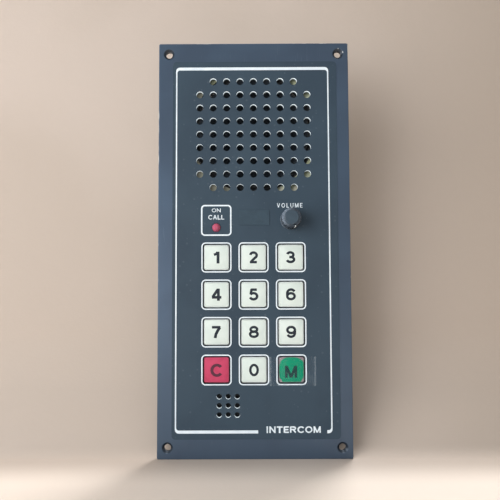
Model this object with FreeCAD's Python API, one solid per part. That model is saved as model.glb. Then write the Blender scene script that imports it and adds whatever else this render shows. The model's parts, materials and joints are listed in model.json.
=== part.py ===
import FreeCAD, Part
import math
import os

# Panel-mounted intercom station. Millimetres.
# x runs right as the user faces it, y runs back into the wall, z runs up.
# The origin is the centre of the front panel's rear face, so the front is at negative y.

V = FreeCAD.Vector
BACK = V(0, 1, 0)

# ---- front panel and what is fixed in it
panelWidth = 130.0
panelHeight = 281.0
panelThick = 3.0
panelCorner = 1.2
panelEdge = 0.5
mountSpacingX = 116.0
mountSpacingZ = 266.0
mountHoleRadius = 2.25
countersinkRadius = 3.75

overlayWidth = 112.0
overlayHeight = 255.0
overlayThick = 0.25
overlayCorner = 2.5
overlayCentreX = 0.75

labelWidth = 20.5
labelHeight = 10.2
labelThick = 0.3
labelCentre = (0.2, 19.9)

gasketThick = 1.5
gasketMargin = 1.0
gasketInnerWidth = 106.0
gasketInnerHeight = 257.0
gasketHoleRadius = 2.6

spigotRadius = 2.0
spigotDepth = 1.5

# ---- loudspeaker grille and microphone holes
grillePitch = 9.15
grilleCount = 9
grilleHoleRadius = 2.4
grilleCentre = (-0.2, 77.0)
micPitch = 6.0
micCount = 3
micHoleRadius = 1.8
micCentre = (-17.7, -105.5)

# ---- keys
keyPitch = 25.0
keyColumnsX = (-25.5, -0.5, 24.5)
keyTopRowZ = -7.0
keyNames = ("1", "2", "3", "4", "5", "6", "7", "8", "9", "c", "0", "m")
keyOpening = 18.2
keyOpeningCorner = 1.8
keySize = 16.9
keyCorner = 1.5
keyBevel = 0.4
keyRecess = 0.55
keyTravel = 2.0
keyWall = 1.2
keyFlange = 19.8
keyFlangeFront = 0.35
keyFlangeThick = 1.0
keyCrownThick = 1.45
keyStem = 4.0
keyStemEnd = 7.0
legendSize = 15.4
legendDepth = 0.2
switchSize = 13.0
switchFront = keyFlangeFront + keyFlangeThick + keyTravel + 0.95
switchBore = 4.6
switchBoreEnd = keyStemEnd + keyTravel + 0.4

# ---- call lamp
lampCentre = (-25.6, 13.2)
lampRadius = 2.9
lampHoleRadius = 3.05
lampTip = -5.2
lampFlangeRadius = 3.4
spacerRadius = 3.8

# ---- volume control
knobCentre = (24.4, 18.4)
shaftRadius = 3.0
shaftClearance = 0.05
bushRadius = 3.5
bushEnd = -7.5
potRadius = 8.5
potDepth = 9.5
knobRadius = 6.75
knobBarrelRadius = 6.45
knobHeight = 13.9
knobGap = 0.5
knobFlutes = 16
knobCapRadius = 4.9
knobCapProud = 0.6
colletRadius = 4.2

# ---- loudspeaker
speakerCentre = (-0.5, 80.0)
speakerFrameSize = 95.0
speakerFrameCorner = 12.0
speakerFrameThick = 1.2
speakerOpening = 42.8
speakerStudOffset = 39.5
studEnd = 7.0
nutFlats = 7.0
nutThick = 3.2
coilInner = 12.4
coilOuter = 12.9
coilGap = 0.5
coilFront = 15.8
coilBack = 31.0
coneRim = 37.7
coneThick = 0.7
magnetRadius = 30.0
plateRadius = 27.0

# ---- microphone
bootRadius = 13.0
bootDepth = 11.0
bootChamfer = 0.8
bootCavityRadius = 11.0
capsuleRadius = 4.85
capsuleFront = 2.5
capsuleBack = 9.2
capsulePort = 1.2

# ---- boards
boardThick = 1.6
boardCentreX = -0.5
boardWidth = 91.0
boardBottom = -91.0
boardTop = 28.0
keypadBoardFront = 10.0
mainBoardFront = 24.0
pillarFlats = 5.5
pillarSpots = [(x, z) for x in (-42.5, 41.5) for z in (24.0, -31.0, -87.0)]
screwRadius = 1.5
screwClear = 1.65

keypadBoardBack = keypadBoardFront + boardThick
mainBoardBack = mainBoardFront + boardThick
frontY = -panelThick
overlayFrontY = frontY - overlayThick
keyFaceY = frontY - overlayThick + keyRecess
keySpots = {}
for index, keyName in enumerate(keyNames):
    keySpots[keyName] = (keyColumnsX[index % 3], keyTopRowZ - keyPitch * (index // 3))


# ---- shape helpers
def block(x, y, z):
    return Part.makeBox(x[1] - x[0], y[1] - y[0], z[1] - z[0], V(x[0], y[0], z[0]))


def rod(spot, radius, y0, y1):
    return Part.makeCylinder(radius, y1 - y0, V(spot[0], y0, spot[1]), BACK)


def slab(spot, width, height, corner, y0, y1):
    """A plate with rounded corners, centred on spot."""
    x, z = spot
    shape = block((x - width / 2, x + width / 2), (y0, y1), (z - height / 2, z + height / 2))
    upright = [e for e in shape.Edges if abs(e.tangentAt(e.FirstParameter).y) > 0.99]
    return shape.makeFillet(corner, upright)


def edgesAt(shape, y):
    return [e for e in shape.Edges if all(abs(v.Y - y) < 1e-6 for v in e.Vertexes)]


def turned(spot, profile):
    """A solid of revolution about the front-to-back axis through spot, from (radius, y) points."""
    x, z = spot
    points = [V(x + r, y, z) for r, y in profile]
    face = Part.Face(Part.makePolygon(points + [points[0]]))
    solid = face.revolve(V(x, 0, z), BACK, 360)
    if solid.Volume < 0:
        solid.reverse()
    return solid


def hexagon(spot, flats, y0, y1):
    corner = flats / math.sqrt(3)
    points = []
    for i in range(7):
        angle = math.radians(60 * i)
        points.append(V(spot[0] + corner * math.cos(angle), y0, spot[1] + corner * math.sin(angle)))
    return Part.Face(Part.makePolygon(points)).extrude(V(0, y1 - y0, 0))


def arcPoints(centre, radius, start, stop, steps):
    """(radius, y) points along an arc; angles in degrees."""
    points = []
    for i in range(steps + 1):
        angle = math.radians(start + (stop - start) * i / steps)
        points.append((centre[0] + radius * math.cos(angle), centre[1] + radius * math.sin(angle)))
    return points


def gridSpots(centre, pitch, count, skipCorners):
    spots = []
    half = (count - 1) / 2
    for i in range(count):
        for j in range(count):
            if skipCorners and i in (0, count - 1) and j in (0, count - 1):
                continue
            spots.append((centre[0] + pitch * (i - half), centre[1] + pitch * (j - half)))
    return spots


def lead(points, radius):
    """An insulated wire: straight runs joined by tangent arcs."""
    corners = [V(*p) for p in points]
    edges = []
    start = corners[0]
    for before, corner, after in zip(corners, corners[1:], corners[2:]):
        inward = (before - corner).normalize()
        outward = (after - corner).normalize()
        reach = 0.45 * min((before - corner).Length, (after - corner).Length)
        first = corner + inward * reach
        last = corner + outward * reach
        halfTurn = (math.pi - inward.getAngle(outward)) / 2
        bend = reach / math.tan(halfTurn)
        middleWay = (inward + outward).normalize()
        middle = corner + middleWay * (math.hypot(bend, reach) - bend)
        print("lead bend radius %.1f mm" % bend)
        edges.append(Part.LineSegment(start, first).toShape())
        edges.append(Part.Arc(first, middle, last).toShape())
        start = last
    edges.append(Part.LineSegment(start, corners[-1]).toShape())
    path = Part.Wire(edges)
    section = Part.Wire(Part.makeCircle(radius, corners[0], corners[1] - corners[0]))
    tube = path.makePipeShell([section], True, False)
    expected = math.pi * radius ** 2 * path.Length
    print("lead volume %.2f, section times length %.2f" % (tube.Volume, expected))
    return tube


# ---- where the panel is pierced or blind-drilled
grilleSpots = gridSpots(grilleCentre, grillePitch, grilleCount, True)
micSpots = gridSpots(micCentre, micPitch, micCount, False)
mountSpots = [(sx * mountSpacingX / 2, sz * mountSpacingZ / 2) for sx in (-1, 1) for sz in (-1, 1)]
speakerStuds = []
for sx in (-1, 1):
    for sz in (-1, 1):
        stud = (speakerCentre[0] + sx * speakerStudOffset, speakerCentre[1] + sz * speakerStudOffset)
        speakerStuds.append(stud)


def frontOpenings(y0, y1):
    """Every opening that the panel and its overlay share."""
    tools = [rod(spot, grilleHoleRadius, y0, y1) for spot in grilleSpots]
    tools += [rod(spot, micHoleRadius, y0, y1) for spot in micSpots]
    tools += [slab(spot, keyOpening, keyOpening, keyOpeningCorner, y0, y1) for spot in keySpots.values()]
    tools.append(rod(lampCentre, lampHoleRadius, y0, y1))
    tools.append(rod(knobCentre, bushRadius + 0.15, y0, y1))
    return Part.makeCompound(tools)


def frontPanel():
    plate = slab((0, 0), panelWidth, panelHeight, panelCorner, frontY, 0)
    plate = plate.makeFillet(panelEdge, edgesAt(plate, frontY))
    plate = plate.cut(frontOpenings(frontY - 1, 1))
    tools = []
    for x, z in mountSpots:
        tools.append(rod((x, z), mountHoleRadius, frontY - 1, 1))
        sinkDepth = countersinkRadius - mountHoleRadius
        tools.append(Part.makeCone(countersinkRadius, mountHoleRadius, sinkDepth, V(x, frontY, z), BACK))
    for spot in speakerStuds + pillarSpots:
        tools.append(rod(spot, spigotRadius, -spigotDepth, 1))
    return plate.cut(Part.makeCompound(tools))


def frontOverlay():
    foil = slab((overlayCentreX, 0), overlayWidth, overlayHeight, overlayCorner, overlayFrontY, frontY)
    return foil.cut(frontOpenings(overlayFrontY - 1, 1))


def labelPlate():
    plate = slab(labelCentre, labelWidth, labelHeight, 0.8, overlayFrontY - labelThick, overlayFrontY)
    return plate.makeChamfer(0.1, edgesAt(plate, overlayFrontY - labelThick))


def wallGasket():
    outerWidth = panelWidth - 2 * gasketMargin
    outerHeight = panelHeight - 2 * gasketMargin
    ring = slab((0, 0), outerWidth, outerHeight, panelCorner, 0, gasketThick)
    ring = ring.cut(slab((0, 0), gasketInnerWidth, gasketInnerHeight, 4, -1, gasketThick + 1))
    return ring.cut(Part.makeCompound([rod(s, gasketHoleRadius, -1, gasketThick + 1) for s in mountSpots]))


# ---- keys
def keyCap(spot):
    flangeBack = keyFlangeFront + keyFlangeThick
    crownBack = keyFaceY + keyCrownThick
    cap = slab(spot, keySize, keySize, keyCorner, keyFaceY, flangeBack)
    cap = cap.makeChamfer(keyBevel, edgesAt(cap, keyFaceY))
    cap = cap.fuse(slab(spot, keyFlange, keyFlange, keyOpeningCorner, keyFlangeFront, flangeBack))
    inner = keySize - 2 * keyWall
    cap = cap.cut(slab(spot, inner, inner, 0.6, crownBack, flangeBack + 1))
    half = keyStem / 2
    x, z = spot
    cap = cap.fuse(block((x - half, x + half), (crownBack - 0.5, keyStemEnd), (z - half, z + half)))
    cap = cap.cut(slab(spot, legendSize, legendSize, 0.8, keyFaceY - 1, keyFaceY + legendDepth))
    return cap.removeSplitter()


def keySwitches():
    solids = []
    for spot in keySpots.values():
        body = slab(spot, switchSize, switchSize, 0.8, switchFront, keypadBoardFront)
        body = body.makeChamfer(0.5, edgesAt(body, switchFront))
        bore = slab(spot, switchBore, switchBore, 0.2, switchFront - 1, switchBoreEnd)
        solids.append(body.cut(bore))
    return Part.makeCompound(solids)


# ---- call lamp
def callLamp():
    flangeBack = 1.4
    flangeFront = 0.4
    legOffset = 1.27
    legHalf = 0.25
    shoulder = lampTip + lampRadius
    profile = [(0, flangeBack), (lampFlangeRadius, flangeBack)]
    profile += [(lampFlangeRadius, flangeFront), (lampRadius, flangeFront)]
    profile += arcPoints((0, shoulder), lampRadius, 0, -90, 10)
    lamp = turned(lampCentre, profile)
    x, z = lampCentre
    for legX in (x - legOffset, x + legOffset):
        across = (legX - legHalf, legX + legHalf)
        lamp = lamp.fuse(block(across, (flangeBack - 0.4, keypadBoardFront), (z - legHalf, z + legHalf)))
    return lamp


def lampSpacer():
    inner = 1.8
    front = 1.4
    return turned(lampCentre, [
        (inner, front), (spacerRadius, front), (spacerRadius, keypadBoardFront), (inner, keypadBoardFront)])


# ---- volume control
def volumeControl():
    bore = shaftRadius + shaftClearance
    boreEnd = 3.6
    body = turned(knobCentre, [
        (0, potDepth), (potRadius - 0.6, potDepth), (potRadius, potDepth - 0.6), (potRadius, 0),
        (bushRadius, 0), (bushRadius, bushEnd), (bore, bushEnd), (bore, boreEnd), (0, boreEnd)])
    x, z = knobCentre
    for side in (-5.0, 0.0, 5.0):
        pin = block((x + side - 0.6, x + side + 0.6), (potDepth - 1, keypadBoardFront), (z - 5.4, z - 4.6))
        body = body.fuse(pin)
    return body.removeSplitter()


def volumeNut():
    washerRadius = 5.5
    washerFront = overlayFrontY - 0.5
    washer = rod(knobCentre, washerRadius, washerFront, overlayFrontY)
    washer = washer.cut(rod(knobCentre, bushRadius, washerFront - 1, overlayFrontY + 1))
    nut = hexagon(knobCentre, 10.0, washerFront - 2.2, washerFront)
    nut = nut.cut(rod(knobCentre, bushRadius, washerFront - 3, washerFront + 1))
    return Part.makeCompound([washer, nut])


knobBase = overlayFrontY - knobGap
knobTop = knobBase - knobHeight
knobCavityEnd = bushEnd - 0.4
colletTop = knobTop + 2.0
capRecess = 1.0


def volumeShaft():
    return rod(knobCentre, shaftRadius, colletTop, 3.5)


def knobBody():
    skirtTop = knobBase - 2.2
    step = knobRadius - knobBarrelRadius
    topEdge = 0.6
    nutCavity = 6.1
    nutCavityEnd = skirtTop - step
    bushCavity = 4.6
    seat = knobTop + capRecess
    body = turned(knobCentre, [
        (nutCavity, knobBase), (knobRadius, knobBase), (knobRadius, skirtTop),
        (knobBarrelRadius, skirtTop - step), (knobBarrelRadius, knobTop + topEdge),
        (knobBarrelRadius - topEdge, knobTop), (knobCapRadius, knobTop), (knobCapRadius, seat),
        (colletRadius, seat), (colletRadius, knobCavityEnd), (bushCavity, knobCavityEnd),
        (bushCavity, nutCavityEnd), (nutCavity, nutCavityEnd)])
    fluteRadius = 0.9
    fluteDepth = 0.6
    away = knobRadius + fluteRadius - fluteDepth
    fluteEnd = skirtTop - 2 * step
    flutes = []
    for i in range(knobFlutes):
        angle = 2 * math.pi * (i + 0.5) / knobFlutes
        spot = (knobCentre[0] + away * math.cos(angle), knobCentre[1] + away * math.sin(angle))
        flutes.append(rod(spot, fluteRadius, knobTop - 1, fluteEnd))
    return body.cut(Part.makeCompound(flutes))


def knobCollet():
    foot = knobCavityEnd - 0.6
    return turned(knobCentre, [
        (shaftRadius, foot), (colletRadius, foot), (colletRadius, colletTop), (shaftRadius, colletTop)])


def knobCap():
    edge = 0.8
    front = knobTop - knobCapProud
    seat = knobTop + capRecess
    plugEnd = colletTop - 0.3
    rim = arcPoints((knobCapRadius - edge, front + edge), edge, -90, 0, 6)
    return turned(knobCentre, [(0, front)] + rim + [
        (knobCapRadius, seat), (colletRadius, seat), (colletRadius, plugEnd), (0, plugEnd)])


# ---- loudspeaker
basketWide = 46.2
basketNarrow = 28.2
basketShoulder = 3.4
basketWaist = 23.2
basketBack = 25.2
sheet = 1.0
topPlateBack = basketBack + 4.0
magnetBack = topPlateBack + 9.0
yokeBack = magnetBack + 4.0


def speakerFrame():
    size = speakerFrameSize
    tools = [rod(speakerCentre, speakerOpening, -1, speakerFrameThick + 1)]
    tools += [rod(spot, spigotRadius + 0.2, -1, speakerFrameThick + 1) for spot in speakerStuds]
    flange = slab(speakerCentre, size, size, speakerFrameCorner, 0, speakerFrameThick)
    flange = flange.cut(Part.makeCompound(tools))
    inner = basketWide - sheet
    narrow = basketNarrow - sheet
    lap = 0.4
    neck = 15.0
    basket = turned(speakerCentre, [
        (inner, speakerFrameThick - lap), (basketWide, speakerFrameThick - lap), (basketWide, basketShoulder),
        (basketNarrow, basketWaist), (basketNarrow, basketBack), (neck, basketBack),
        (neck, basketBack - sheet), (narrow, basketBack - sheet),
        (narrow, basketWaist - lap), (inner, basketShoulder - lap)])
    windowSpan = 58.0
    windowFront = 6.5
    windowLong = 13.5
    for middle in (45, 135, 225, 315):
        x, z = speakerCentre
        window = Part.makeCylinder(basketWide + 10, windowLong, V(x, windowFront, z), BACK, windowSpan)
        window.rotate(V(x, 0, z), BACK, middle - windowSpan / 2)
        basket = basket.cut(window)
    return flange.fuse(basket).removeSplitter()


def speakerSurround():
    rollCentre = (40.15, speakerFrameThick + 0.3)
    seatFront = speakerFrameThick
    seatBack = seatFront + 0.5
    outerRoll = arcPoints(rollCentre, 1.85, 0, 180, 10)
    innerRoll = arcPoints(rollCentre, 1.4, 180, 0, 10)
    profile = [(45.0, seatFront), (45.0, seatBack)] + outerRoll + innerRoll + [(42.0, seatFront)]
    return turned(speakerCentre, profile)


def speakerSpider():
    seat = basketBack - sheet
    thick = 0.5
    waveFoot = 21.0
    steps = 24
    front = []
    back = []
    for i in range(steps + 1):
        radius = waveFoot + (coilOuter + 0.6 - waveFoot) * i / steps
        y = seat - thick - 1.0 + 0.8 * math.cos(3 * 2 * math.pi * i / steps)
        front.append((radius, y))
        back.append((radius, y + thick))
    profile = [(26.8, seat), (26.8, seat - thick), (waveFoot + 0.8, seat - thick)] + front
    profile += list(reversed(back)) + [(waveFoot + 0.8, seat)]
    return turned(speakerCentre, profile)


def speakerCone():
    rimFront = 1.4
    waist = (26.0, 7.0)
    neckFront = coilFront + 0.6
    return turned(speakerCentre, [
        (coneRim, rimFront), waist, (coilOuter, neckFront), (coilOuter, neckFront + 1.3 * coneThick),
        (waist[0], waist[1] + 1.15 * coneThick), (coneRim, rimFront + coneThick)])


def dustCap():
    """A domed cap whose foot stands on the front end of the coil."""
    rise = 5.0
    thick = 0.5
    outerBall = (coilOuter ** 2 + rise ** 2) / (2 * rise)
    innerBall = outerBall - thick
    centreY = coilFront - rise + outerBall
    outerSweep = math.degrees(math.acos((centreY - coilFront) / outerBall))
    innerSweep = math.degrees(math.acos((centreY - coilFront) / innerBall))
    outer = arcPoints((0, centreY), outerBall, -90, -90 + outerSweep, 10)
    inner = arcPoints((0, centreY), innerBall, -90 + innerSweep, -90, 10)
    return turned(speakerCentre, outer + inner)


def voiceCoil():
    return turned(speakerCentre, [
        (coilInner, coilFront), (coilOuter, coilFront), (coilOuter, coilBack), (coilInner, coilBack)])


def speakerTopPlate():
    inner = coilOuter + coilGap
    return turned(speakerCentre, [
        (inner, basketBack), (plateRadius, basketBack), (plateRadius, topPlateBack), (inner, topPlateBack)])


def speakerMagnet():
    chamfer = 0.8
    inner = coilOuter + 2.6
    shoulder = magnetRadius - chamfer
    return turned(speakerCentre, [
        (inner, topPlateBack), (shoulder, topPlateBack), (magnetRadius, topPlateBack + chamfer),
        (magnetRadius, magnetBack - chamfer), (shoulder, magnetBack), (inner, magnetBack)])


def speakerYoke():
    pole = coilInner - coilGap
    chamfer = 0.6
    poleFront = basketBack + 0.8
    return turned(speakerCentre, [
        (0, poleFront), (pole - chamfer, poleFront), (pole, poleFront + chamfer), (pole, magnetBack),
        (plateRadius, magnetBack), (plateRadius, yokeBack - chamfer),
        (plateRadius - chamfer, yokeBack), (0, yokeBack)])


tagOffset = 5.5
tagZ = speakerCentre[1] - 41.5
tagEnd = 19.0


def speakerTerminals():
    """An insulating strip on the lower arm of the basket, with two solder tags."""
    x, z = speakerCentre
    stripFront = 10.5
    stripBack = 15.5
    basketOutside = turned(speakerCentre, [
        (0, 0), (basketWide, 0), (basketWide, basketShoulder),
        (basketNarrow, basketWaist), (0, basketWaist)])
    strip = block((x - 10, x + 10), (stripFront, stripBack), (z - 43.5, z - 33)).cut(basketOutside)
    solids = [strip]
    for side in (-tagOffset, tagOffset):
        tag = block((x + side - 1.2, x + side + 1.2), (stripBack, tagEnd), (tagZ - 0.3, tagZ + 0.3))
        solids.append(tag)
    return Part.makeCompound(solids)


def speakerStudSet():
    return Part.makeCompound([rod(spot, spigotRadius, -spigotDepth, studEnd) for spot in speakerStuds])


def speakerNuts():
    solids = []
    for spot in speakerStuds:
        nut = hexagon(spot, nutFlats, speakerFrameThick, speakerFrameThick + nutThick)
        solids.append(nut.cut(rod(spot, spigotRadius, 0, studEnd)))
    return Part.makeCompound(solids)


# ---- microphone
def microphoneBoot():
    return turned(micCentre, [
        (bootCavityRadius, 0), (bootRadius, 0), (bootRadius, bootDepth - bootChamfer),
        (bootRadius - bootChamfer, bootDepth), (capsulePort, bootDepth), (capsulePort, capsuleBack),
        (capsuleRadius, capsuleBack), (capsuleRadius, capsuleFront), (bootCavityRadius, capsuleFront)])


def microphoneCapsule():
    portEnd = capsuleFront + 0.5
    return turned(micCentre, [
        (capsulePort, portEnd), (capsulePort, capsuleFront), (capsuleRadius, capsuleFront),
        (capsuleRadius, capsuleBack), (0, capsuleBack), (0, portEnd)])


# ---- boards and what joins them
tappedFrom = 17.0


def board(front):
    spot = (boardCentreX, (boardTop + boardBottom) / 2)
    back = front + boardThick
    plate = slab(spot, boardWidth, boardTop - boardBottom, 1.5, front, back)
    return plate.cut(Part.makeCompound([rod(s, screwClear, front - 1, back + 1) for s in pillarSpots]))


def frontPillars():
    solids = []
    for spot in pillarSpots:
        pillar = hexagon(spot, pillarFlats, 0, keypadBoardFront)
        pillar = pillar.fuse(rod(spot, spigotRadius, -spigotDepth, 0))
        solids.append(pillar.cut(rod(spot, screwRadius, 4.0, keypadBoardFront + 1)))
    return Part.makeCompound(solids)


def rearPillars():
    solids = []
    for spot in pillarSpots:
        pillar = hexagon(spot, pillarFlats, keypadBoardBack, mainBoardFront)
        pillar = pillar.fuse(rod(spot, screwRadius, 5.0, keypadBoardBack))
        solids.append(pillar.cut(rod(spot, screwRadius, tappedFrom, mainBoardFront + 1)))
    return Part.makeCompound(solids)


def boardScrews():
    screwTip = tappedFrom + 1.0
    headRadius = 2.8
    headTop = mainBoardBack + 1.9
    solids = []
    for x, z in pillarSpots:
        screw = turned((x, z), [
            (0, screwTip), (screwRadius, screwTip), (screwRadius, mainBoardBack), (headRadius, mainBoardBack),
            (headRadius, headTop - 0.6), (headRadius - 0.6, headTop), (0, headTop)])
        slot = block((x - headRadius, x + headRadius), (headTop - 0.8, headTop + 1), (z - 0.4, z + 0.4))
        solids.append(screw.cut(slot))
    return Part.makeCompound(solids)


def boardConnector():
    return block((-25.5, 24.5), (keypadBoardBack, mainBoardFront), (-22.0, -17.0))


# ---- terminal block
terminalCount = 12
terminalPitch = 5.0
terminalSpots = [(-28.0 + terminalPitch * i, -81.5) for i in range(terminalCount)]
terminalBack = mainBoardBack + 12.0


terminalFoot = -88.0
terminalTop = -77.0
wellRadius = 1.9
wellFloor = mainBoardBack + 5.0


def terminalBlock():
    left = terminalSpots[0][0] - terminalPitch / 2
    right = terminalSpots[-1][0] + terminalPitch / 2
    body = block((left, right), (mainBoardBack, terminalBack), (terminalFoot, terminalTop))
    step = block((left - 1, right + 1), (terminalBack - 4, terminalBack + 1), (terminalTop - 1.5, 0))
    body = body.cut(step)
    tools = []
    for x, z in terminalSpots:
        tools.append(rod((x, z), wellRadius, wellFloor, terminalBack + 1))
        tools.append(block((x - 1.6, x + 1.6), (wellFloor - 2.6, wellFloor + 0.6), (terminalFoot - 1, z)))
    return body.cut(Part.makeCompound(tools))


def terminalScrews():
    head = terminalBack - 1.2
    slotDepth = 0.7
    slotHalf = 0.3
    solids = []
    for x, z in terminalSpots:
        screw = rod((x, z), wellRadius - 0.15, wellFloor, head)
        across = (x - wellRadius, x + wellRadius)
        slot = block(across, (head - slotDepth, head + 1), (z - slotHalf, z + slotHalf))
        solids.append(screw.cut(slot))
    return Part.makeCompound(solids)


# ---- components on the main board
transformerSpot = (-24.0, -42.0)
coreBottom = mainBoardBack + 4.4
coreDepth = 14.0


def transformerCore():
    x, z = transformerSpot
    core = block((x - 16, x + 16), (coreBottom, coreBottom + coreDepth), (z - 13.5, z + 13.5))
    through = (coreBottom - 1, coreBottom + coreDepth + 1)
    for middle in (x - 8.0, x + 8.0):
        core = core.cut(block((middle - 3, middle + 3), through, (z - 8.5, z + 8.5)))
    return core


def transformerCoil():
    x, z = transformerSpot
    bottom = mainBoardBack
    top = coreBottom + coreDepth + 3.6
    coil = slab(transformerSpot, 22.0, 17.0, 1.5, bottom, top)
    return coil.cut(block((x - 5, x + 5), (coreBottom, coreBottom + coreDepth), (z - 10, z + 10)))


def callRelay():
    relay = slab((27.0, -62.0), 20.0, 10.0, 0.8, mainBoardBack, mainBoardBack + 11.0)
    return relay.makeFillet(0.6, edgesAt(relay, mainBoardBack + 11.0))


# place, can radius, height
capacitorList = [
    ((6.0, -52.0), 6.5, 18.0),
    ((6.0, -34.0), 6.5, 18.0),
    ((22.0, -40.0), 5.0, 13.0),
    ((36.0, -42.0), 4.0, 11.0),
]


def capacitors():
    solids = []
    for spot, radius, tall in capacitorList:
        top = mainBoardBack + tall
        groove = mainBoardBack + 2.2
        crimp = 0.5
        rim = radius - 0.6
        solids.append(turned(spot, [
            (0, mainBoardBack), (radius, mainBoardBack), (radius, groove - crimp), (radius - crimp, groove),
            (radius, groove + crimp), (radius, top - 0.6), (rim, top), (rim - 0.8, top),
            (rim - 1.0, top - 0.3), (0, top - 0.3)]))
    return Part.makeCompound(solids)


sinkLeft = -38.0
sinkRight = -6.0
sinkFoot = 6.0
sinkBack = mainBoardBack + 18.0


def heatSink():
    plate = 2.5
    sink = block((sinkLeft, sinkRight), (mainBoardBack, sinkBack), (sinkFoot, sinkFoot + plate))
    finCount = 8
    fin = 1.2
    finTop = sinkFoot + 13.0
    step = (sinkRight - sinkLeft - fin) / (finCount - 1)
    for i in range(finCount):
        x = sinkLeft + step * i
        sink = sink.fuse(block((x, x + fin), (mainBoardBack, sinkBack), (sinkFoot + plate, finTop)))
    return sink.removeSplitter()


def amplifierChip():
    middle = (sinkLeft + sinkRight) / 2
    bottom = mainBoardBack + 3.0
    package = block((middle - 10, middle + 10), (bottom, bottom + 12.0), (sinkFoot - 4.4, sinkFoot))
    legCount = 9
    legPitch = 2.0
    for i in range(legCount):
        x = middle + legPitch * (i - (legCount - 1) / 2)
        leg = block((x - 0.3, x + 0.3), (mainBoardBack, bottom), (sinkFoot - 2.5, sinkFoot - 2.0))
        package = package.fuse(leg)
    return package


def logicChips():
    x = 17.0
    pinPitch = 2.54
    pinsPerSide = 8
    chipHalfLong = 10.0
    chipHalfWide = 3.2
    chipBottom = mainBoardBack + 0.6
    chipTop = mainBoardBack + 4.0
    pinTop = mainBoardBack + 2.4
    pinThick = 0.5
    solids = []
    for z in (14.0, 1.0, -12.0):
        along = (x - chipHalfLong, x + chipHalfLong)
        chip = block(along, (chipBottom, chipTop), (z - chipHalfWide, z + chipHalfWide))
        chip = chip.cut(rod((along[0], z), 1.0, chipTop - 1.0, chipTop + 1.0))
        for i in range(pinsPerSide):
            pinX = x + pinPitch * (i - (pinsPerSide - 1) / 2)
            for foot in (z - chipHalfWide - pinThick, z + chipHalfWide):
                pin = block((pinX - 0.5, pinX + 0.5), (mainBoardBack, pinTop), (foot, foot + pinThick))
                chip = chip.fuse(pin)
        solids.append(chip)
    return Part.makeCompound(solids)


def trimmers():
    bodyTop = mainBoardBack + 5.0
    wheelTop = bodyTop + 1.2
    solids = []
    for x, z in ((37.0, 10.0), (37.0, -2.0)):
        body = slab((x, z), 7.0, 7.0, 0.4, mainBoardBack, bodyTop)
        wheel = rod((x, z), 2.6, bodyTop, wheelTop)
        slot = block((x - 2, x + 2), (wheelTop - 0.6, wheelTop + 1), (z - 0.4, z + 0.4))
        solids.append(body.fuse(wheel).cut(slot))
    return Part.makeCompound(solids)


def resistor(x, z):
    """An axial resistor lying along z, with its two legs in the board."""
    height = mainBoardBack + 1.6
    beadLong = 6.2
    legSpan = 10.0
    legRadius = 0.3
    wireLong = legSpan + 2 * legRadius
    bead = Part.makeCylinder(1.15, beadLong, V(x, height, z - beadLong / 2), V(0, 0, 1))
    shape = bead.fuse(Part.makeCylinder(legRadius, wireLong, V(x, height, z - wireLong / 2), V(0, 0, 1)))
    for end in (-legSpan / 2, legSpan / 2):
        shape = shape.fuse(rod((x, z + end), legRadius, mainBoardBack, height))
    return shape


def resistors():
    perRow = 8
    step = 5.0
    solids = []
    for left, z in ((-39.0, -14.0), (-40.0, -66.5)):
        solids += [resistor(left + step * i, z) for i in range(perRow)]
    return Part.makeCompound(solids)


# ---- leads to the loudspeaker and the microphone
leadRadius = 0.6


def speakerLead():
    x = speakerCentre[0]
    tubes = []
    for start, end in ((x - tagOffset, x - 3.5), (x + tagOffset, x + 2.5)):
        tubes.append(lead([
            (start, tagEnd, tagZ), (start, 25.0, tagZ), (start * 0.6 + end * 0.4, 30.8, 34.6),
            (end, 34.2, 28.6), (end - 0.3, 33.0, 22.0), (end - 0.3, mainBoardBack, 22.0)], leadRadius))
    return Part.makeCompound(tubes)


def microphoneLead():
    x, z = micCentre
    return lead([
        (x, bootDepth, z), (x, 17.5, z), (x - 4.0, 24.0, z + 3.6), (x - 10.0, 30.0, z + 8.4),
        (x - 16.0, 34.0, z + 14.0), (x - 20.2, 35.0, z + 20.4), (x - 21.0, 32.4, z + 26.0),
        (x - 21.0, mainBoardBack, z + 26.0)], leadRadius)


shapes = {
    "front_panel": frontPanel(),
    "front_overlay": frontOverlay(),
    "label_plate": labelPlate(),
    "wall_gasket": wallGasket(),
    "key_switches": keySwitches(),
    "call_lamp": callLamp(),
    "lamp_spacer": lampSpacer(),
    "volume_control": volumeControl(),
    "volume_nut": volumeNut(),
    "volume_shaft": volumeShaft(),
    "knob_body": knobBody(),
    "knob_collet": knobCollet(),
    "knob_cap": knobCap(),
    "speaker_frame": speakerFrame(),
    "speaker_surround": speakerSurround(),
    "speaker_spider": speakerSpider(),
    "speaker_cone": speakerCone(),
    "speaker_dust_cap": dustCap(),
    "speaker_voice_coil": voiceCoil(),
    "speaker_top_plate": speakerTopPlate(),
    "speaker_magnet": speakerMagnet(),
    "speaker_yoke": speakerYoke(),
    "speaker_terminals": speakerTerminals(),
    "speaker_studs": speakerStudSet(),
    "speaker_nuts": speakerNuts(),
    "speaker_lead": speakerLead(),
    "microphone_boot": microphoneBoot(),
    "microphone_capsule": microphoneCapsule(),
    "microphone_lead": microphoneLead(),
    "keypad_board": board(keypadBoardFront),
    "main_board": board(mainBoardFront),
    "front_pillars": frontPillars(),
    "rear_pillars": rearPillars(),
    "board_screws": boardScrews(),
    "board_connector": boardConnector(),
    "terminal_block": terminalBlock(),
    "terminal_screws": terminalScrews(),
    "transformer_core": transformerCore(),
    "transformer_coil": transformerCoil(),
    "call_relay": callRelay(),
    "capacitors": capacitors(),
    "heat_sink": heatSink(),
    "amplifier_chip": amplifierChip(),
    "logic_chips": logicChips(),
    "trimmers": trimmers(),
    "resistors": resistors(),
}
for keyName, spot in keySpots.items():
    shapes["key_%s_cap" % keyName] = keyCap(spot)

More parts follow.
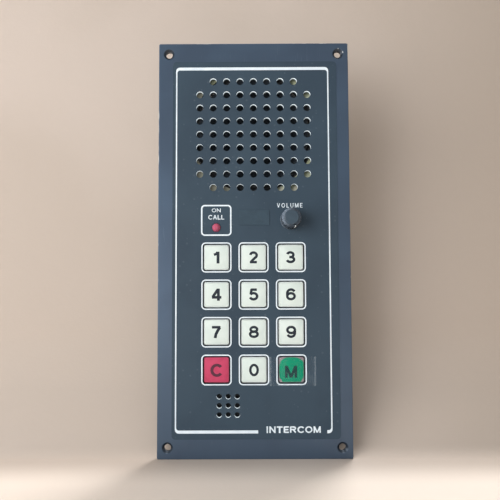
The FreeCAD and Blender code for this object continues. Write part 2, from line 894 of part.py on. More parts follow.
os.makedirs("parts", exist_ok=True)
for name, shape in shapes.items():
    shape.exportStep("parts/%s.step" % name)
    count = len(shape.Solids)
    print("%-20s solids %2d  volume %9.1f  valid %s" % (name, count, shape.Volume, shape.isValid()))
print(len(shapes), "nodes")
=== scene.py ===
import json
import math

import bpy
from mathutils import Matrix, Vector


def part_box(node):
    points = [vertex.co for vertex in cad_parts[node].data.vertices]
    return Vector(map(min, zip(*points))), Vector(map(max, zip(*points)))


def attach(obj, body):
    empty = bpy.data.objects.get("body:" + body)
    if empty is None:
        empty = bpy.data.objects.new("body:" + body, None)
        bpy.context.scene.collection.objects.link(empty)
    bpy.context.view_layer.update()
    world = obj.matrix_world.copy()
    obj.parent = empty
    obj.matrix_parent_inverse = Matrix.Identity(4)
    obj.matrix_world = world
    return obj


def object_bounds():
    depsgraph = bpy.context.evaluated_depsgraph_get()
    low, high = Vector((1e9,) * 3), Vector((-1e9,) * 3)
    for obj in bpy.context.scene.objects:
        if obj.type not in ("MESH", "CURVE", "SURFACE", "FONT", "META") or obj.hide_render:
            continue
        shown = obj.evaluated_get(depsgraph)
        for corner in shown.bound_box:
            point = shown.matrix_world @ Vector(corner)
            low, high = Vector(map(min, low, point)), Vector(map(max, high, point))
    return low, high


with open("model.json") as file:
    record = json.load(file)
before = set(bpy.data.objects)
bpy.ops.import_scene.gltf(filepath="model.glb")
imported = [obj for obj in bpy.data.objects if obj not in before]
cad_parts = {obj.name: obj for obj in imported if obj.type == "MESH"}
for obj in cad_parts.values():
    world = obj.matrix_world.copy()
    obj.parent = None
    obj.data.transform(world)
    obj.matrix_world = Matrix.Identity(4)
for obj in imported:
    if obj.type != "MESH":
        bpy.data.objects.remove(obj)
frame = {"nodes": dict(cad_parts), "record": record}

# x runs right, y runs back into the wall, z runs up. Blender works in metres, so sizes are given as mm.
cadLow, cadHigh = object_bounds()
nodes = frame["nodes"]
mm = 0.001
turn = math.radians
facing = (turn(90), 0, 0)  # stands a flat primitive up, towards the user
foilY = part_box("front_overlay")[0].y
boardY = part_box("main_board")[1].y
keyNames = ("1", "2", "3", "4", "5", "6", "7", "8", "9", "c", "0", "m")


def boxCentre(node):
    low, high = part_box(node)
    return (low + high) / 2


def boxHalf(node):
    low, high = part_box(node)
    return (high - low) / 2


def rgb(red, green, blue):
    parts = [part / 255 for part in (red, green, blue)]
    return tuple(p / 12.92 if p < 0.04 else ((p + 0.055) / 1.055) ** 2.4 for p in parts) + (1.0,)


# camera

cameraLook = {
    "lens": 38.88, "sensor": 36, "nearest": 0.01, "place": (-0.0020, -0.3666, -0.0225),
    "forward": (-0.00237, 0.99842, 0.05611), "up": (0.00398, -0.05610, 0.99842),
}


def addCamera():
    look = cameraLook
    data = bpy.data.cameras.new("viewCamera")
    data.lens = look["lens"]
    data.sensor_width = look["sensor"]
    data.clip_start = look["nearest"]
    camera = bpy.data.objects.new("viewCamera", data)
    forward = Vector(look["forward"]).normalized()
    right = forward.cross(Vector(look["up"])).normalized()
    turned = Matrix((right, right.cross(forward), -forward)).transposed().to_4x4()
    camera.matrix_world = Matrix.Translation(look["place"]) @ turned
    bpy.context.collection.objects.link(camera)
    bpy.context.scene.camera = camera


addCamera()
print("camera placed")


# shader building blocks, which add their nodes to the tree that was opened last

openedTree = None


def openTree(tree):
    global openedTree
    openedTree = tree


def give(socket, value):
    # links a socket to another node's output, or sets it to a plain value
    if isinstance(value, bpy.types.NodeSocket):
        openedTree.links.new(value, socket)
    else:
        socket.default_value = value


def place(kind, inputs=None, **settings):
    node = openedTree.nodes.new("ShaderNode" + kind)
    for key, value in settings.items():
        setattr(node, key, value)
    for key, value in (inputs or {}).items():
        give(node.inputs[key], value)
    return node


def maths(operation, *values):
    return place("Math", dict(enumerate(values)), operation=operation).outputs[0]


def vectors(operation, *values):
    return place("VectorMath", dict(enumerate(values)), operation=operation).outputs[0]


def chained(operation, total, *values):
    for value in values:
        total = maths(operation, total, value)
    return total


def plus(*values):
    return chained("ADD", *values)


def times(*values):
    return chained("MULTIPLY", *values)


def most(*values):
    return chained("MAXIMUM", *values)


def least(*values):
    return chained("MINIMUM", *values)


def minus(value, less):
    return maths("SUBTRACT", value, less)


def timesPlus(value, factor, more):
    return maths("MULTIPLY_ADD", value, factor, more)


def above(value, limit):
    return maths("GREATER_THAN", value, limit)


def below(value, limit):
    return maths("LESS_THAN", value, limit)


def absolute(value):
    return maths("ABSOLUTE", value)


def distance(across, up):
    return maths("SQRT", plus(maths("POWER", across, 2.0), maths("POWER", up, 2.0)))


def waves(value, step):
    return maths("SINE", times(value, 2 * math.pi / step))


def inCell(value, pitch, middle):
    # how far a value is from the nearest of a row of middles
    return maths("WRAP", minus(value, middle), pitch / 2, -pitch / 2)


def mapped(value, low, high, first=0.0, last=1.0):
    given = {"Value": value, "From Min": low, "From Max": high, "To Min": first, "To Max": last}
    return place("MapRange", given, interpolation_type="SMOOTHSTEP").outputs[0]


def mixed(factor, first, second, blend="MIX"):
    # a Mix node's sockets 0, 6 and 7 are its factor and its two colours
    return place("Mix", {0: factor, 6: first, 7: second}, data_type="RGBA", blend_type=blend).outputs[2]


def noise(spot, scale, detail, **more):
    return place("TexNoise", {"Vector": spot, "Scale": scale, "Detail": detail, **more}).outputs["Fac"]


def stretched(spot, scale, rotation=(0.0, 0.0, 0.0)):
    return place("Mapping", {"Vector": spot, "Scale": scale, "Rotation": rotation}).outputs[0]


def spotOf():
    return place("TexCoord").outputs["Object"]


def split(vector):
    return place("SeparateXYZ", {0: vector}).outputs


def facingBack():
    # 1 on a face towards the rear, -1 on one towards the user, 0 on a side
    return split(place("NewGeometry").outputs["Normal"])[1]


def newGroup(name, inputs, outputs):
    tree = bpy.data.node_groups.new(name, "ShaderNodeTree")
    for label, value in inputs.items():
        kind = "NodeSocketVector" if isinstance(value, tuple) else "NodeSocketFloat"
        socket = tree.interface.new_socket(name=label, in_out="INPUT", socket_type=kind)
        socket.default_value = value
    for label in outputs:
        tree.interface.new_socket(name=label, in_out="OUTPUT", socket_type="NodeSocketFloat")
    openTree(tree)
    return tree, tree.nodes.new("NodeGroupInput").outputs, tree.nodes.new("NodeGroupOutput").inputs


def makeGrain():
    sockets = {"Grain Scale": 900.0, "Patch Scale": 25.0, "Stretch": (1.0, 1.0, 1.0)}
    tree, given, result = newGroup("surfaceGrain", sockets, ("Grain", "Patch"))
    spot = spotOf()
    drawn = vectors("MULTIPLY", spot, given["Stretch"])
    give(result["Grain"], noise(drawn, given["Grain Scale"], 3.0, Roughness=0.6))
    give(result["Patch"], noise(spot, given["Patch Scale"], 4.0, Distortion=0.5))
    return tree


def makeEdgeWear():
    sockets = {"Centre": (0.0, 0.0, 0.0), "Half": (1.0, 1.0, 1.0), "Width": 0.001, "Break Scale": 300.0}
    tree, given, result = newGroup("boxEdgeWear", sockets, ("Wear",))
    spot = spotOf()
    away = vectors("ABSOLUTE", vectors("SUBTRACT", spot, given["Centre"]))
    x, y, z = split(vectors("SUBTRACT", given["Half"], away))
    depth = minus(minus(plus(x, y, z), least(x, y, z)), most(x, y, z))  # how far from an edge of the box
    breaks = mapped(noise(spot, given["Break Scale"], 4.0), 0.42, 0.68, 0.02, 2.0)
    share = maths("DIVIDE", depth, times(given["Width"], breaks))
    give(result["Wear"], mapped(share, 0.6, 1.0, 1.0, 0.0))
    return tree


def makeScratches():
    sockets = {"Scale": 60.0, "Angle": (0.0, 0.6, 0.0), "Amount": 0.3}
    tree, given, result = newGroup("fineScratches", sockets, ("Scratch",))
    spot = spotOf()
    drawn = stretched(spot, (40.0, 40.0, 1.0), given["Angle"])
    lines = mapped(noise(drawn, given["Scale"], 1.0), 0.70, 0.76)
    breaks = mapped(noise(spot, given["Scale"], 2.0), 0.52, 0.60)
    give(result["Scratch"], times(lines, breaks, given["Amount"]))
    return tree


def makeDust():
    tree, given, result = newGroup("dustSpecks", {"Scale": 350.0, "Amount": 0.5}, ("Dust",))
    cell = place("TexVoronoi", {"Vector": spotOf(), "Scale": given["Scale"]}).outputs
    size = mapped(split(cell["Color"])[0], 0.72, 1.0, 0.0, 0.3)
    speck = below(cell["Distance"], size)
    give(result["Dust"], times(speck, given["Amount"]))
    return tree


grainGroup = makeGrain()
wearGroup = makeEdgeWear()
scratchGroup = makeScratches()
dustGroup = makeDust()


def begin(name, look):
    material = bpy.data.materials.new(name)
    material.use_nodes = True
    openTree(material.node_tree)
    shader = material.node_tree.nodes["Principled BSDF"]
    for key, value in look.get("plain", {}).items():
        shader.inputs[key].default_value = value
    scales = {"Grain Scale": look["grain"], "Patch Scale": look["patch"]}
    scales["Stretch"] = look.get("stretch", (1.0, 1.0, 1.0))
    grain = place("Group", scales, node_tree=grainGroup).outputs
    return {
        "material": material, "shader": shader, "grain": grain["Grain"], "patch": grain["Patch"],
        "colour": mixed(mapped(grain["Patch"], 0.36, 0.64), look["colour"], look["shade"]),
        "rough": mapped(grain["Grain"], 0.3, 0.7, *look["rough"]),
        "metal": look.get("metal", 0.0), "height": grain["Grain"], "relief": look["relief"],
    }


def tint(finish, mask, shade):
    finish["colour"] = mixed(mask, finish["colour"], shade)


def blendValue(finish, key, mask, value):
    finish[key] = timesPlus(minus(value, finish[key]), mask, finish[key])


def end(finish):
    bump = place("Bump", {"Height": finish["height"], "Distance": finish["relief"]}).outputs[0]
    sockets = finish["shader"].inputs
    give(sockets["Base Color"], finish["colour"])
    give(sockets["Roughness"], finish["rough"])
    give(sockets["Metallic"], finish["metal"])
    give(sockets["Normal"], bump)
    return finish["material"]


def wearOn(node, width, breaks):
    given = {"Centre": boxCentre(node), "Half": boxHalf(node), "Width": width, "Break Scale": breaks}
    return place("Group", given, node_tree=wearGroup).outputs[0]


def scratchOn(amount, scale, angle):
    given = {"Scale": scale, "Angle": angle, "Amount": amount}
    return place("Group", given, node_tree=scratchGroup).outputs[0]


def dustOn(amount, scale):
    return place("Group", {"Scale": scale, "Amount": amount}, node_tree=dustGroup).outputs[0]


# finishes of the front

panelLook = {
    "colour": rgb(68, 84, 102), "shade": rgb(63, 77, 94), "rough": (0.29, 0.32),
    "grain": 1400.0, "patch": 18.0, "relief": 0.005 * mm, "stretch": (1.0, 1.0, 0.4), "sheen": 0.4,
    "plain": {"Specular IOR Level": 0.55, "Emission Strength": 1.0},
    # the darkest colour here is painted shade, for the countersinks and for the walls and foil edges of the
    # openings other than the sound holes
    "recessShade": rgb(34, 39, 45), "soundHeights": (-96 * mm, 33 * mm), "boredHalf": (52 * mm, 124 * mm),
    "screwSpot": (58 * mm, 133 * mm), "sinkRadius": 3.75 * mm, "sinkSpan": (3.4 * mm, 3.7 * mm),
    "sinkDark": 0.75, "rimSpan": (0.1 * mm, 0.45 * mm), "knockScale": 260.0, "knockSpan": (0.54, 0.60),
    "chipWidth": 0.22 * mm, "chipScale": 110.0, "chipPatch": (0.52, 0.56),
    "scratch": rgb(118, 130, 142), "scratches": (0.25, 45.0, (0.0, 0.6, 0.0)),
    "backMetal": rgb(206, 207, 204), "backLine": rgb(186, 188, 188), "backRough": (0.32, 0.48),
    "backMetallic": 0.9, "lineScale": 60.0, "lineStretch": (1.0, 1.0, 60.0), "lineSpan": (0.3, 0.7),
    # bare metal for the sound holes' walls, painted shade deeper in, and a painted glow given through the
    # emission
    "drilled": rgb(240, 247, 250), "drilledShade": rgb(66, 76, 82), "drilledSpan": (-2.6 * mm, -0.8 * mm),
    "glow": rgb(188, 198, 203), "noGlow": rgb(0, 0, 0), "glowDeep": 0.04,
}


def openingWalls(x, z, back):
    # walls of the openings inside the printed frame: those of the sound holes, and those of all the others
    halfX, halfZ = panelLook["boredHalf"]
    inside = times(below(absolute(x), halfX), below(absolute(z), halfZ), below(absolute(back), 0.5))
    low, high = panelLook["soundHeights"]
    sound = most(below(z, low), above(z, high))
    return times(inside, sound), times(inside, minus(1.0, sound))


def panelPaint():
    look = panelLook
    finish = begin("panelPaint", look)
    spot = spotOf()
    x, y, z = split(spot)
    back = facingBack()
    bare, painted = openingWalls(x, z, back)
    # the countersinks are darkened with painted shade, the rim of the upper right one is knocked, the panel's
    # edges are chipped
    screwX, screwZ = look["screwSpot"]
    away = distance(minus(absolute(x), screwX), minus(absolute(z), screwZ))
    tint(finish, mapped(away, *look["sinkSpan"], look["sinkDark"], 0.0), look["recessShade"])
    tint(finish, scratchOn(*look["scratches"]), look["scratch"])
    knocked = mapped(noise(spot, look["knockScale"], 3.0), *look["knockSpan"])
    rim = mapped(absolute(minus(away, look["sinkRadius"])), *look["rimSpan"], 1.0, 0.0)
    rim = times(rim, knocked, above(x, screwX), above(z, screwZ))
    chips = wearOn("front_panel", look["chipWidth"], look["chipScale"])
    chips = times(chips, mapped(finish["patch"], *look["chipPatch"]))
    # the rear is bare metal, drawn along its length
    metal = most(above(back, 0.5), rim, chips)
    lines = noise(stretched(spot, look["lineStretch"]), look["lineScale"], 4.0)
    tint(finish, metal, mixed(mapped(lines, *look["lineSpan"]), look["backMetal"], look["backLine"]))
    blendValue(finish, "rough", metal, mapped(lines, *look["lineSpan"], *look["backRough"]))
    # the walls of the sound holes are bare metal in front, with painted shade deeper in and a painted glow
    # that fades as they go deeper
    tint(finish, bare, mixed(mapped(y, *look["drilledSpan"]), look["drilled"], look["drilledShade"]))
    # the walls of the other openings get painted shade
    tint(finish, painted, look["recessShade"])
    # the emission is a painted glow on the bare walls, strongest in front
    paintedGlow = times(bare, mapped(y, *look["drilledSpan"], 1.0, look["glowDeep"]))
    give(finish["shader"].inputs["Emission Color"], mixed(paintedGlow, look["noGlow"], look["glow"]))
    sheen = minus(look["sheen"], times(bare, look["sheen"]))
    finish["metal"] = most(times(metal, look["backMetallic"]), sheen)
    return end(finish)


foilLook = {
    "colour": rgb(55, 70, 82), "shade": rgb(51, 65, 77), "rough": (0.46, 0.56),
    "grain": 1800.0, "patch": 22.0, "relief": 0.012 * mm, "plain": {"Specular IOR Level": 0.2},
    "cut": rgb(236, 240, 238), "dust": rgb(150, 158, 162), "dusting": (0.07, 420.0),
    "scratch": rgb(110, 122, 132), "scratches": (0.10, 55.0, (0.0, 1.1, 0.0)),
}


def overlayFoil():
    look = foilLook
    finish = begin("overlayFoil", look)
    x, y, z = split(spotOf())
    cut, dark = openingWalls(x, z, facingBack())
    # painted shade on the foil's cut edges around the openings other than the sound holes
    tint(finish, dark, panelLook["recessShade"])
    tint(finish, dustOn(*look["dusting"]), look["dust"])
    tint(finish, scratchOn(*look["scratches"]), look["scratch"])
    tint(finish, cut, look["cut"])
    return end(finish)


# rim is a painted highlight on the white keys' edges, painted shade on the red keys' edges, and the bare cap
# colour on the green key
keyLook = {
    "white": {"colour": rgb(215, 224, 217), "shade": rgb(209, 219, 212), "rim": rgb(240, 245, 245)},
    "red": {"colour": rgb(194, 72, 102), "shade": rgb(183, 64, 92), "rim": rgb(160, 58, 80)},
    "green": {"colour": rgb(0, 141, 103), "shade": rgb(4, 133, 99), "rim": rgb(146, 134, 136)},
    "rough": (0.32, 0.42), "grain": 1600.0, "patch": 90.0, "relief": 0.01 * mm,
    # painted shade, uneven in patches, for the caps' sides down in the gap
    "pitch": 25 * mm, "middle": (-0.5 * mm, -7 * mm), "gapShade": rgb(74, 82, 86),
    "rimSpan": (7.95 * mm, 8.2 * mm), "sideSpan": (8.3 * mm, 8.42 * mm), "bare": rgb(146, 134, 138),
    "blot": (8.2 * mm, 8.3 * mm), "blotDrop": 0.5 * mm, "blotPower": 3.2, "blotScale": 260.0,
    "blotUneven": 0.9, "blotSpan": (1.42, 1.66),
}


def keyCell():
    # how far a point is from its own key's centre, across and up
    x, y, z = split(spotOf())
    middleX, middleZ = keyLook["middle"]
    return inCell(x, keyLook["pitch"], middleX), inCell(z, keyLook["pitch"], middleZ)


def greenRunOut(finish, across, up):
    # the green has run out short of the corners and the upper edge, in an uneven blot
    look = keyLook
    edge = times(noise(spotOf(), look["blotScale"], 3.0), look["blotUneven"])
    for way, half in zip((across, plus(up, look["blotDrop"])), look["blot"]):
        edge = plus(edge, maths("POWER", absolute(maths("DIVIDE", way, half)), look["blotPower"]))
    tint(finish, mapped(edge, *look["blotSpan"]), look["bare"])


def keyPlastic(name, shades):
    look = {**keyLook, **keyLook[shades]}
    finish = begin(name, look)
    across, up = keyCell()
    away = most(absolute(across), absolute(up))
    if shades == "green":
        greenRunOut(finish, across, up)
    # the rim colour: a painted highlight on white keys, painted shade on red keys, the bare cap on the green
    # key
    tint(finish, mapped(away, *look["rimSpan"], 0.0, 0.7), look["rim"])
    # painted shade, uneven in patches, on the caps' sides in the gap
    side = mapped(away, *look["sideSpan"], 0.0, 0.8)
    tint(finish, times(side, mapped(finish["patch"], 0.3, 0.6, 0.5, 1.0)), look["gapShade"])
    return end(finish)


filmLook = {
    "rough": (0.50, 0.60), "grain": 2200.0, "patch": 120.0, "relief": 0.006 * mm,
    "plain": {"Specular IOR Level": 0.12},
}


def legendFilm(name, shades):
    finish = begin(name, {**keyLook[shades], **filmLook})
    if shades == "green":
        greenRunOut(finish, *keyCell())
    return end(finish)


knobLook = {
    "colour": rgb(30, 37, 46), "shade": rgb(26, 32, 41), "rough": (0.24, 0.32),
    "grain": 1500.0, "patch": 160.0, "relief": 0.02 * mm, "plain": {"Specular IOR Level": 0.4},
    # the lighter colour on ribs and lip is wear with a painted highlight, strongest on the left
    "wearAndHighlight": rgb(150, 164, 180), "highlightSpan": (-6.0 * mm, 1.5 * mm), "highlightLean": 0.25, "highlightLeast": 0.14,
    "ribSpan": (6.5 * mm, 6.68 * mm), "lipDeep": 2.6 * mm, "lipLeast": 0.3,
}


def knobPlastic():
    # ribs and lip are lighter with wear and with a painted highlight, strongest on the left
    look = knobLook
    finish = begin("knobPlastic", look)
    centre = boxCentre("knob_body")
    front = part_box("knob_body")[0].y
    x, y, z = split(spotOf())
    fromX, fromZ = minus(x, centre.x), minus(z, centre.z)
    ribs = mapped(distance(fromX, fromZ), *look["ribSpan"])
    lip = mapped(y, front, front + look["lipDeep"], 1.0, look["lipLeast"])
    side = mapped(minus(fromX, times(fromZ, look["highlightLean"])), *look["highlightSpan"], 1.0, look["highlightLeast"])
    tint(finish, times(most(ribs, lip), finish["grain"], side), look["wearAndHighlight"])
    return end(finish)


lampLook = {
    "colour": rgb(176, 90, 114), "shade": rgb(168, 82, 106), "rough": (0.70, 0.80),
    "grain": 1500.0, "patch": 400.0, "relief": 0.01 * mm, "leg": rgb(190, 190, 186), "legsFrom": 1.45 * mm,
    "plain": {"Subsurface Weight": 0.3, "Subsurface Scale": 0.002, "Specular IOR Level": 0.15},
}


def lampLens():
    finish = begin("lampLens", lampLook)
    finish["metal"] = above(split(spotOf())[1], lampLook["legsFrom"])
    tint(finish, finish["metal"], lampLook["leg"])
    return end(finish)


tapeLook = {
    "colour": rgb(176, 190, 200), "shade": rgb(150, 166, 176), "rough": (0.22, 0.40),
    "grain": 500.0, "patch": 160.0, "relief": 0.05 * mm, "plain": {"IOR": 1.46},
    "cloudSpan": (0.38, 0.68), "clear": (0.010, 0.05), "ends": (9.8 * mm, 40.9 * mm),
    "endBand": (0.3 * mm, 1.8 * mm), "endCloud": 0.20,
    "streakScale": 900.0, "streakStretch": (1.0, 1.0, 0.12),
}


def clearTape():
    # hardly seen, a little cloudy, and most of all along its two cut ends
    look = tapeLook
    finish = begin("clearTape", look)
    spot = spotOf()
    x = split(spot)[0]
    left, right = look["ends"]
    cloud = mapped(finish["patch"], *look["cloudSpan"], *look["clear"])
    edge = mapped(least(minus(x, left), minus(right, x)), *look["endBand"], look["endCloud"], 0.0)
    streak = noise(stretched(spot, look["streakStretch"]), look["streakScale"], 2.0)
    edge = times(edge, mapped(streak, 0.35, 0.6, 0.5, 1.0))
    give(finish["shader"].inputs["Alpha"], plus(cloud, edge))
    return end(finish)


# finishes of the loudspeaker

zincLook = {
    "colour": rgb(190, 191, 164), "shade": rgb(174, 173, 140), "rough": (0.34, 0.48), "metal": 0.65,
    "grain": 700.0, "patch": 45.0, "relief": 0.015 * mm,
    "filmScale": 70.0, "violet": rgb(184, 168, 160), "dull": rgb(168, 160, 120),
    "dust": rgb(120, 112, 92), "dusting": (0.35, 500.0), "frontFace": 0.3 * mm,
    # a painted shadow along one side of each sound hole
    "holePitch": 9.15 * mm, "holeMiddle": (-0.2 * mm, 77 * mm), "ringWay": (0.7, 0.7),
    "ring": rgb(64, 68, 50), "ringSpan": (-1.5 * mm, 1.7 * mm), "ringRough": 2.4 * mm,
    # painted shade towards the lower left of the frame
    "lowerLeftShade": rgb(104, 100, 88), "lowerLeftShadeSpan": (14 * mm, 20 * mm), "lowerLeftShadeWay": (0.8, 0.35), "lowerLeftShadeFull": 0.85,
}


def yellowZinc():
    look = zincLook
    finish = begin("yellowZinc", look)
    spot = spotOf()
    x, y, z = split(spot)
    film = noise(spot, look["filmScale"], 2.0, Distortion=1.2)
    tint(finish, mapped(film, 0.56, 0.66, 0.0, 0.5), look["violet"])
    tint(finish, mapped(film, 0.30, 0.42, 0.55, 0.0), look["dull"])
    tint(finish, dustOn(*look["dusting"]), look["dust"])
    # the face behind the sound holes gets a painted shadow along one side of each, and painted shade towards
    # the lower left
    front = below(y, look["frontFace"])
    middleX, middleZ = look["holeMiddle"]
    across, up = inCell(x, look["holePitch"], middleX), inCell(z, look["holePitch"], middleZ)
    wayX, wayZ = look["ringWay"]
    shadowSide = minus(times(across, wayX), times(up, wayZ))
    shadowSide = timesPlus(minus(finish["grain"], 0.5), look["ringRough"], shadowSide)
    tint(finish, times(mapped(shadowSide, *look["ringSpan"], 0.92, 0.25), front), look["ring"])
    # painted shade towards the lower left
    centre = boxCentre("speaker_frame")
    wayX, wayZ = look["lowerLeftShadeWay"]
    low = timesPlus(minus(centre.x, x), wayX, times(minus(centre.z, z), wayZ))
    tint(finish, times(mapped(low, *look["lowerLeftShadeSpan"], 0.0, look["lowerLeftShadeFull"]), front), look["lowerLeftShade"])
    return end(finish)


coneLook = {
    "colour": rgb(58, 64, 72), "shade": rgb(48, 54, 62), "rough": (0.82, 0.92),
    "grain": 900.0, "patch": 60.0, "relief": 0.12 * mm, "fibre": rgb(84, 80, 76), "ringStep": 4.4 * mm,
}


def conePaper():
    # pressed in fine rings, with paler fibres
    finish = begin("conePaper", coneLook)
    centre = boxCentre("speaker_cone")
    x, y, z = split(spotOf())
    rings = waves(distance(minus(x, centre.x), minus(z, centre.z)), coneLook["ringStep"])
    finish["height"] = timesPlus(mapped(rings, 0.75, 1.0), 1.4, finish["grain"])
    tint(finish, mapped(finish["grain"], 0.62, 0.74, 0.0, 0.6), coneLook["fibre"])
    return end(finish)


weaveLook = {
    "surroundCloth": {
        "colour": rgb(40, 40, 42), "shade": rgb(32, 32, 34), "rough": (0.62, 0.74), "thread": 0.7 * mm,
        "grain": 1200.0, "patch": 60.0, "relief": 0.05 * mm, "gap": rgb(18, 18, 20)},
    "spiderCloth": {
        "colour": rgb(190, 158, 100), "shade": rgb(172, 138, 84), "rough": (0.58, 0.7), "thread": 0.6 * mm,
        "grain": 1200.0, "patch": 60.0, "relief": 0.06 * mm, "gap": rgb(112, 84, 48)},
}


def wovenCloth(name):
    look = weaveLook[name]
    finish = begin(name, look)
    x, y, z = split(spotOf())
    over = mapped(times(waves(x, look["thread"]), waves(z, look["thread"])), -1.0, 1.0)
    tint(finish, mapped(over, 0.0, 0.4, 0.7, 0.0), look["gap"])
    finish["height"] = plus(over, times(finish["grain"], 0.5))
    return end(finish)


# finishes behind the panel

boardLook = {
    "colour": rgb(44, 104, 62), "shade": rgb(52, 114, 68), "rough": (0.28, 0.40),
    "grain": 1600.0, "patch": 30.0, "relief": 0.01 * mm, "plain": {"Coat Weight": 0.35}, "edgeRough": 0.7,
    "trace": rgb(78, 138, 84), "edge": rgb(150, 146, 92), "copperStep": 2.54 * mm,
    "runs": {
        "Scale": 1.0, "Mortar Size": 0.16, "Mortar Smooth": 0.0, "Brick Width": 5.0, "Row Height": 1.0,
    },
    "planeScale": 38.0, "traceSpan": (0.43, 0.44), "planeSpan": (0.62, 0.63), "copperRise": 3.0,
    "dust": rgb(150, 150, 132), "dusting": (0.25, 600.0),
}


def boardLaminate():
    # copper shows through the green as runs of traces and as wide planes; the cut edges are bare
    look = boardLook
    finish = begin("boardLaminate", look)
    spot = spotOf()
    grid = stretched(spot, (1 / look["copperStep"],) * 3, facing)
    runs = place("TexBrick", {"Vector": grid, **look["runs"]}, offset=0.5, squash=0.6, squash_frequency=3)
    plane = noise(spot, look["planeScale"], 0.0)
    traces = times(runs.outputs["Fac"], mapped(plane, *look["traceSpan"]))
    copper = most(traces, mapped(plane, *look["planeSpan"]))
    tint(finish, copper, look["trace"])
    edge = below(absolute(facingBack()), 0.5)
    tint(finish, edge, look["edge"])
    blendValue(finish, "rough", edge, look["edgeRough"])
    finish["height"] = timesPlus(copper, look["copperRise"], finish["grain"])
    tint(finish, dustOn(*look["dusting"]), look["dust"])
    return end(finish)


resistorLook = {
    "colour": rgb(192, 162, 122), "shade": rgb(184, 152, 112), "rough": (0.34, 0.46),
    "grain": 1500.0, "patch": 200.0, "relief": 0.02 * mm, "leg": rgb(196, 196, 190),
    "rows": (-14 * mm, -66.5 * mm), "step": 5 * mm, "bandHalf": 0.28 * mm, "beadHalf": 3.12 * mm,
    "bands": {-1.7: rgb(96, 52, 30), -0.75: rgb(22, 22, 24), 0.2: rgb(176, 44, 34), 1.9: rgb(176, 140, 62)},
}


def resistorLacquer():
    # the last band is the same on all of them; the others change from one resistor to the next
    look = resistorLook
    finish = begin("resistorLacquer", look)
    x, y, z = split(spotOf())
    upper, lower = look["rows"]
    along = minus(z, timesPlus(above(z, (upper + lower) / 2), upper - lower, lower))
    each = maths("FLOOR", maths("DIVIDE", x, look["step"]))
    chance = place("TexWhiteNoise", {"W": each}, noise_dimensions="1D").outputs["Color"]
    last = max(look["bands"])
    for middle, ink in look["bands"].items():
        band = below(absolute(minus(along, middle * mm)), look["bandHalf"])
        tint(finish, band, ink if middle == last else mixed(0.45, ink, chance, "MULTIPLY"))
    finish["metal"] = above(absolute(along), look["beadHalf"])
    tint(finish, finish["metal"], look["leg"])
    return end(finish)


chipLook = {
    "colour": rgb(40, 40, 43), "shade": rgb(34, 34, 37), "rough": (0.55, 0.68),
    "grain": 1800.0, "patch": 120.0, "relief": 0.03 * mm, "pin": rgb(200, 198, 190), "pinRough": 0.3,
    "pitch": 13 * mm, "middle": 1 * mm, "bodyHalf": 3.22 * mm, "legLong": 2.98 * mm,
}


def chipEpoxy():
    # the packages are black. Pins, which stand outside the logic chips' bodies and in front of the
    # amplifier's, are tinned
    look = chipLook
    finish = begin("chipEpoxy", look)
    x, y, z = split(spotOf())
    logic = above(x, 0.0)
    pins = above(absolute(inCell(z, look["pitch"], look["middle"])), look["bodyHalf"])
    legs = below(y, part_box("amplifier_chip")[0].y + look["legLong"])
    metal = most(times(pins, logic), times(legs, minus(1.0, logic)))
    tint(finish, metal, look["pin"])
    blendValue(finish, "rough", metal, look["pinRough"])
    finish["metal"] = metal
    return end(finish)


coreLook = {
    "colour": rgb(98, 96, 98), "shade": rgb(84, 80, 80), "rough": (0.38, 0.55), "metal": 0.7,
    "grain": 900.0, "patch": 60.0, "relief": 0.05 * mm,
    "sheet": 0.5 * mm, "rust": rgb(120, 74, 48), "gap": rgb(44, 42, 42),
}


def coreSteel():
    # a stack of sheets, rusty in patches
    finish = begin("coreSteel", coreLook)
    sheets = waves(split(spotOf())[1], coreLook["sheet"])
    finish["height"] = plus(mapped(sheets, -0.4, 0.5), finish["grain"])
    tint(finish, mapped(finish["patch"], 0.60, 0.72, 0.0, 0.6), coreLook["rust"])
    tint(finish, mapped(sheets, -1.0, -0.5, 0.6, 0.0), coreLook["gap"])
    return end(finish)


sleeveLook = {
    "colour": rgb(46, 66, 120), "shade": rgb(40, 58, 108), "rough": (0.26, 0.36),
    "grain": 1200.0, "patch": 120.0, "relief": 0.02 * mm, "can": rgb(190, 192, 194), "rim": 1.45 * mm,
    "stripe": rgb(186, 194, 206), "stripeWay": (-0.5, 0.866), "stripeFrom": 0.88, "reach": 0.3 * mm,
    "dash": 3.2 * mm, "dashSpan": (0.9 * mm, 1.0 * mm),
}

# middle x and z, radius and height of each can
capacitorSpots = [
    [value * mm for value in can]
    for can in ((6, -52, 6.5, 18), (6, -34, 6.5, 18), (22, -40, 5, 13), (36, -42, 4, 11))
]


def capacitorSleeve():
    # each sleeve has a pale stripe with dashes; the rear end of the can is bare inside the sleeve's rim
    look = sleeveLook
    finish = begin("capacitorSleeve", look)
    x, y, z = split(spotOf())
    bare, stripe = 0.0, 0.0
    wayX, wayZ = look["stripeWay"]
    for middleX, middleZ, radius, tall in capacitorSpots:
        fromX, fromZ = minus(x, middleX), minus(z, middleZ)
        away = distance(fromX, fromZ)
        bare = most(bare, below(away, radius - look["rim"]))
        along = plus(times(fromX, wayX), times(fromZ, wayZ))
        side = times(above(along, look["stripeFrom"] * radius), below(away, radius + look["reach"]))
        stripe = most(stripe, side)
    dash = mapped(maths("PINGPONG", y, look["dash"]), *look["dashSpan"])
    tint(finish, times(stripe, dash), look["stripe"])
    bare = times(bare, above(facingBack(), 0.5))
    tint(finish, bare, look["can"])
    finish["metal"] = times(bare, 0.95)
    return end(finish)


def plainLook(colour, shade, rough, grain, patch, relief, metal=0.0, stretch=(1.0, 1.0, 1.0), specular=0.5):
    return {
        "colour": rgb(*colour), "shade": rgb(*shade), "rough": rough, "grain": grain, "patch": patch,
        "relief": relief * mm, "metal": metal, "stretch": stretch, "plain": {"Specular IOR Level": specular},
    }


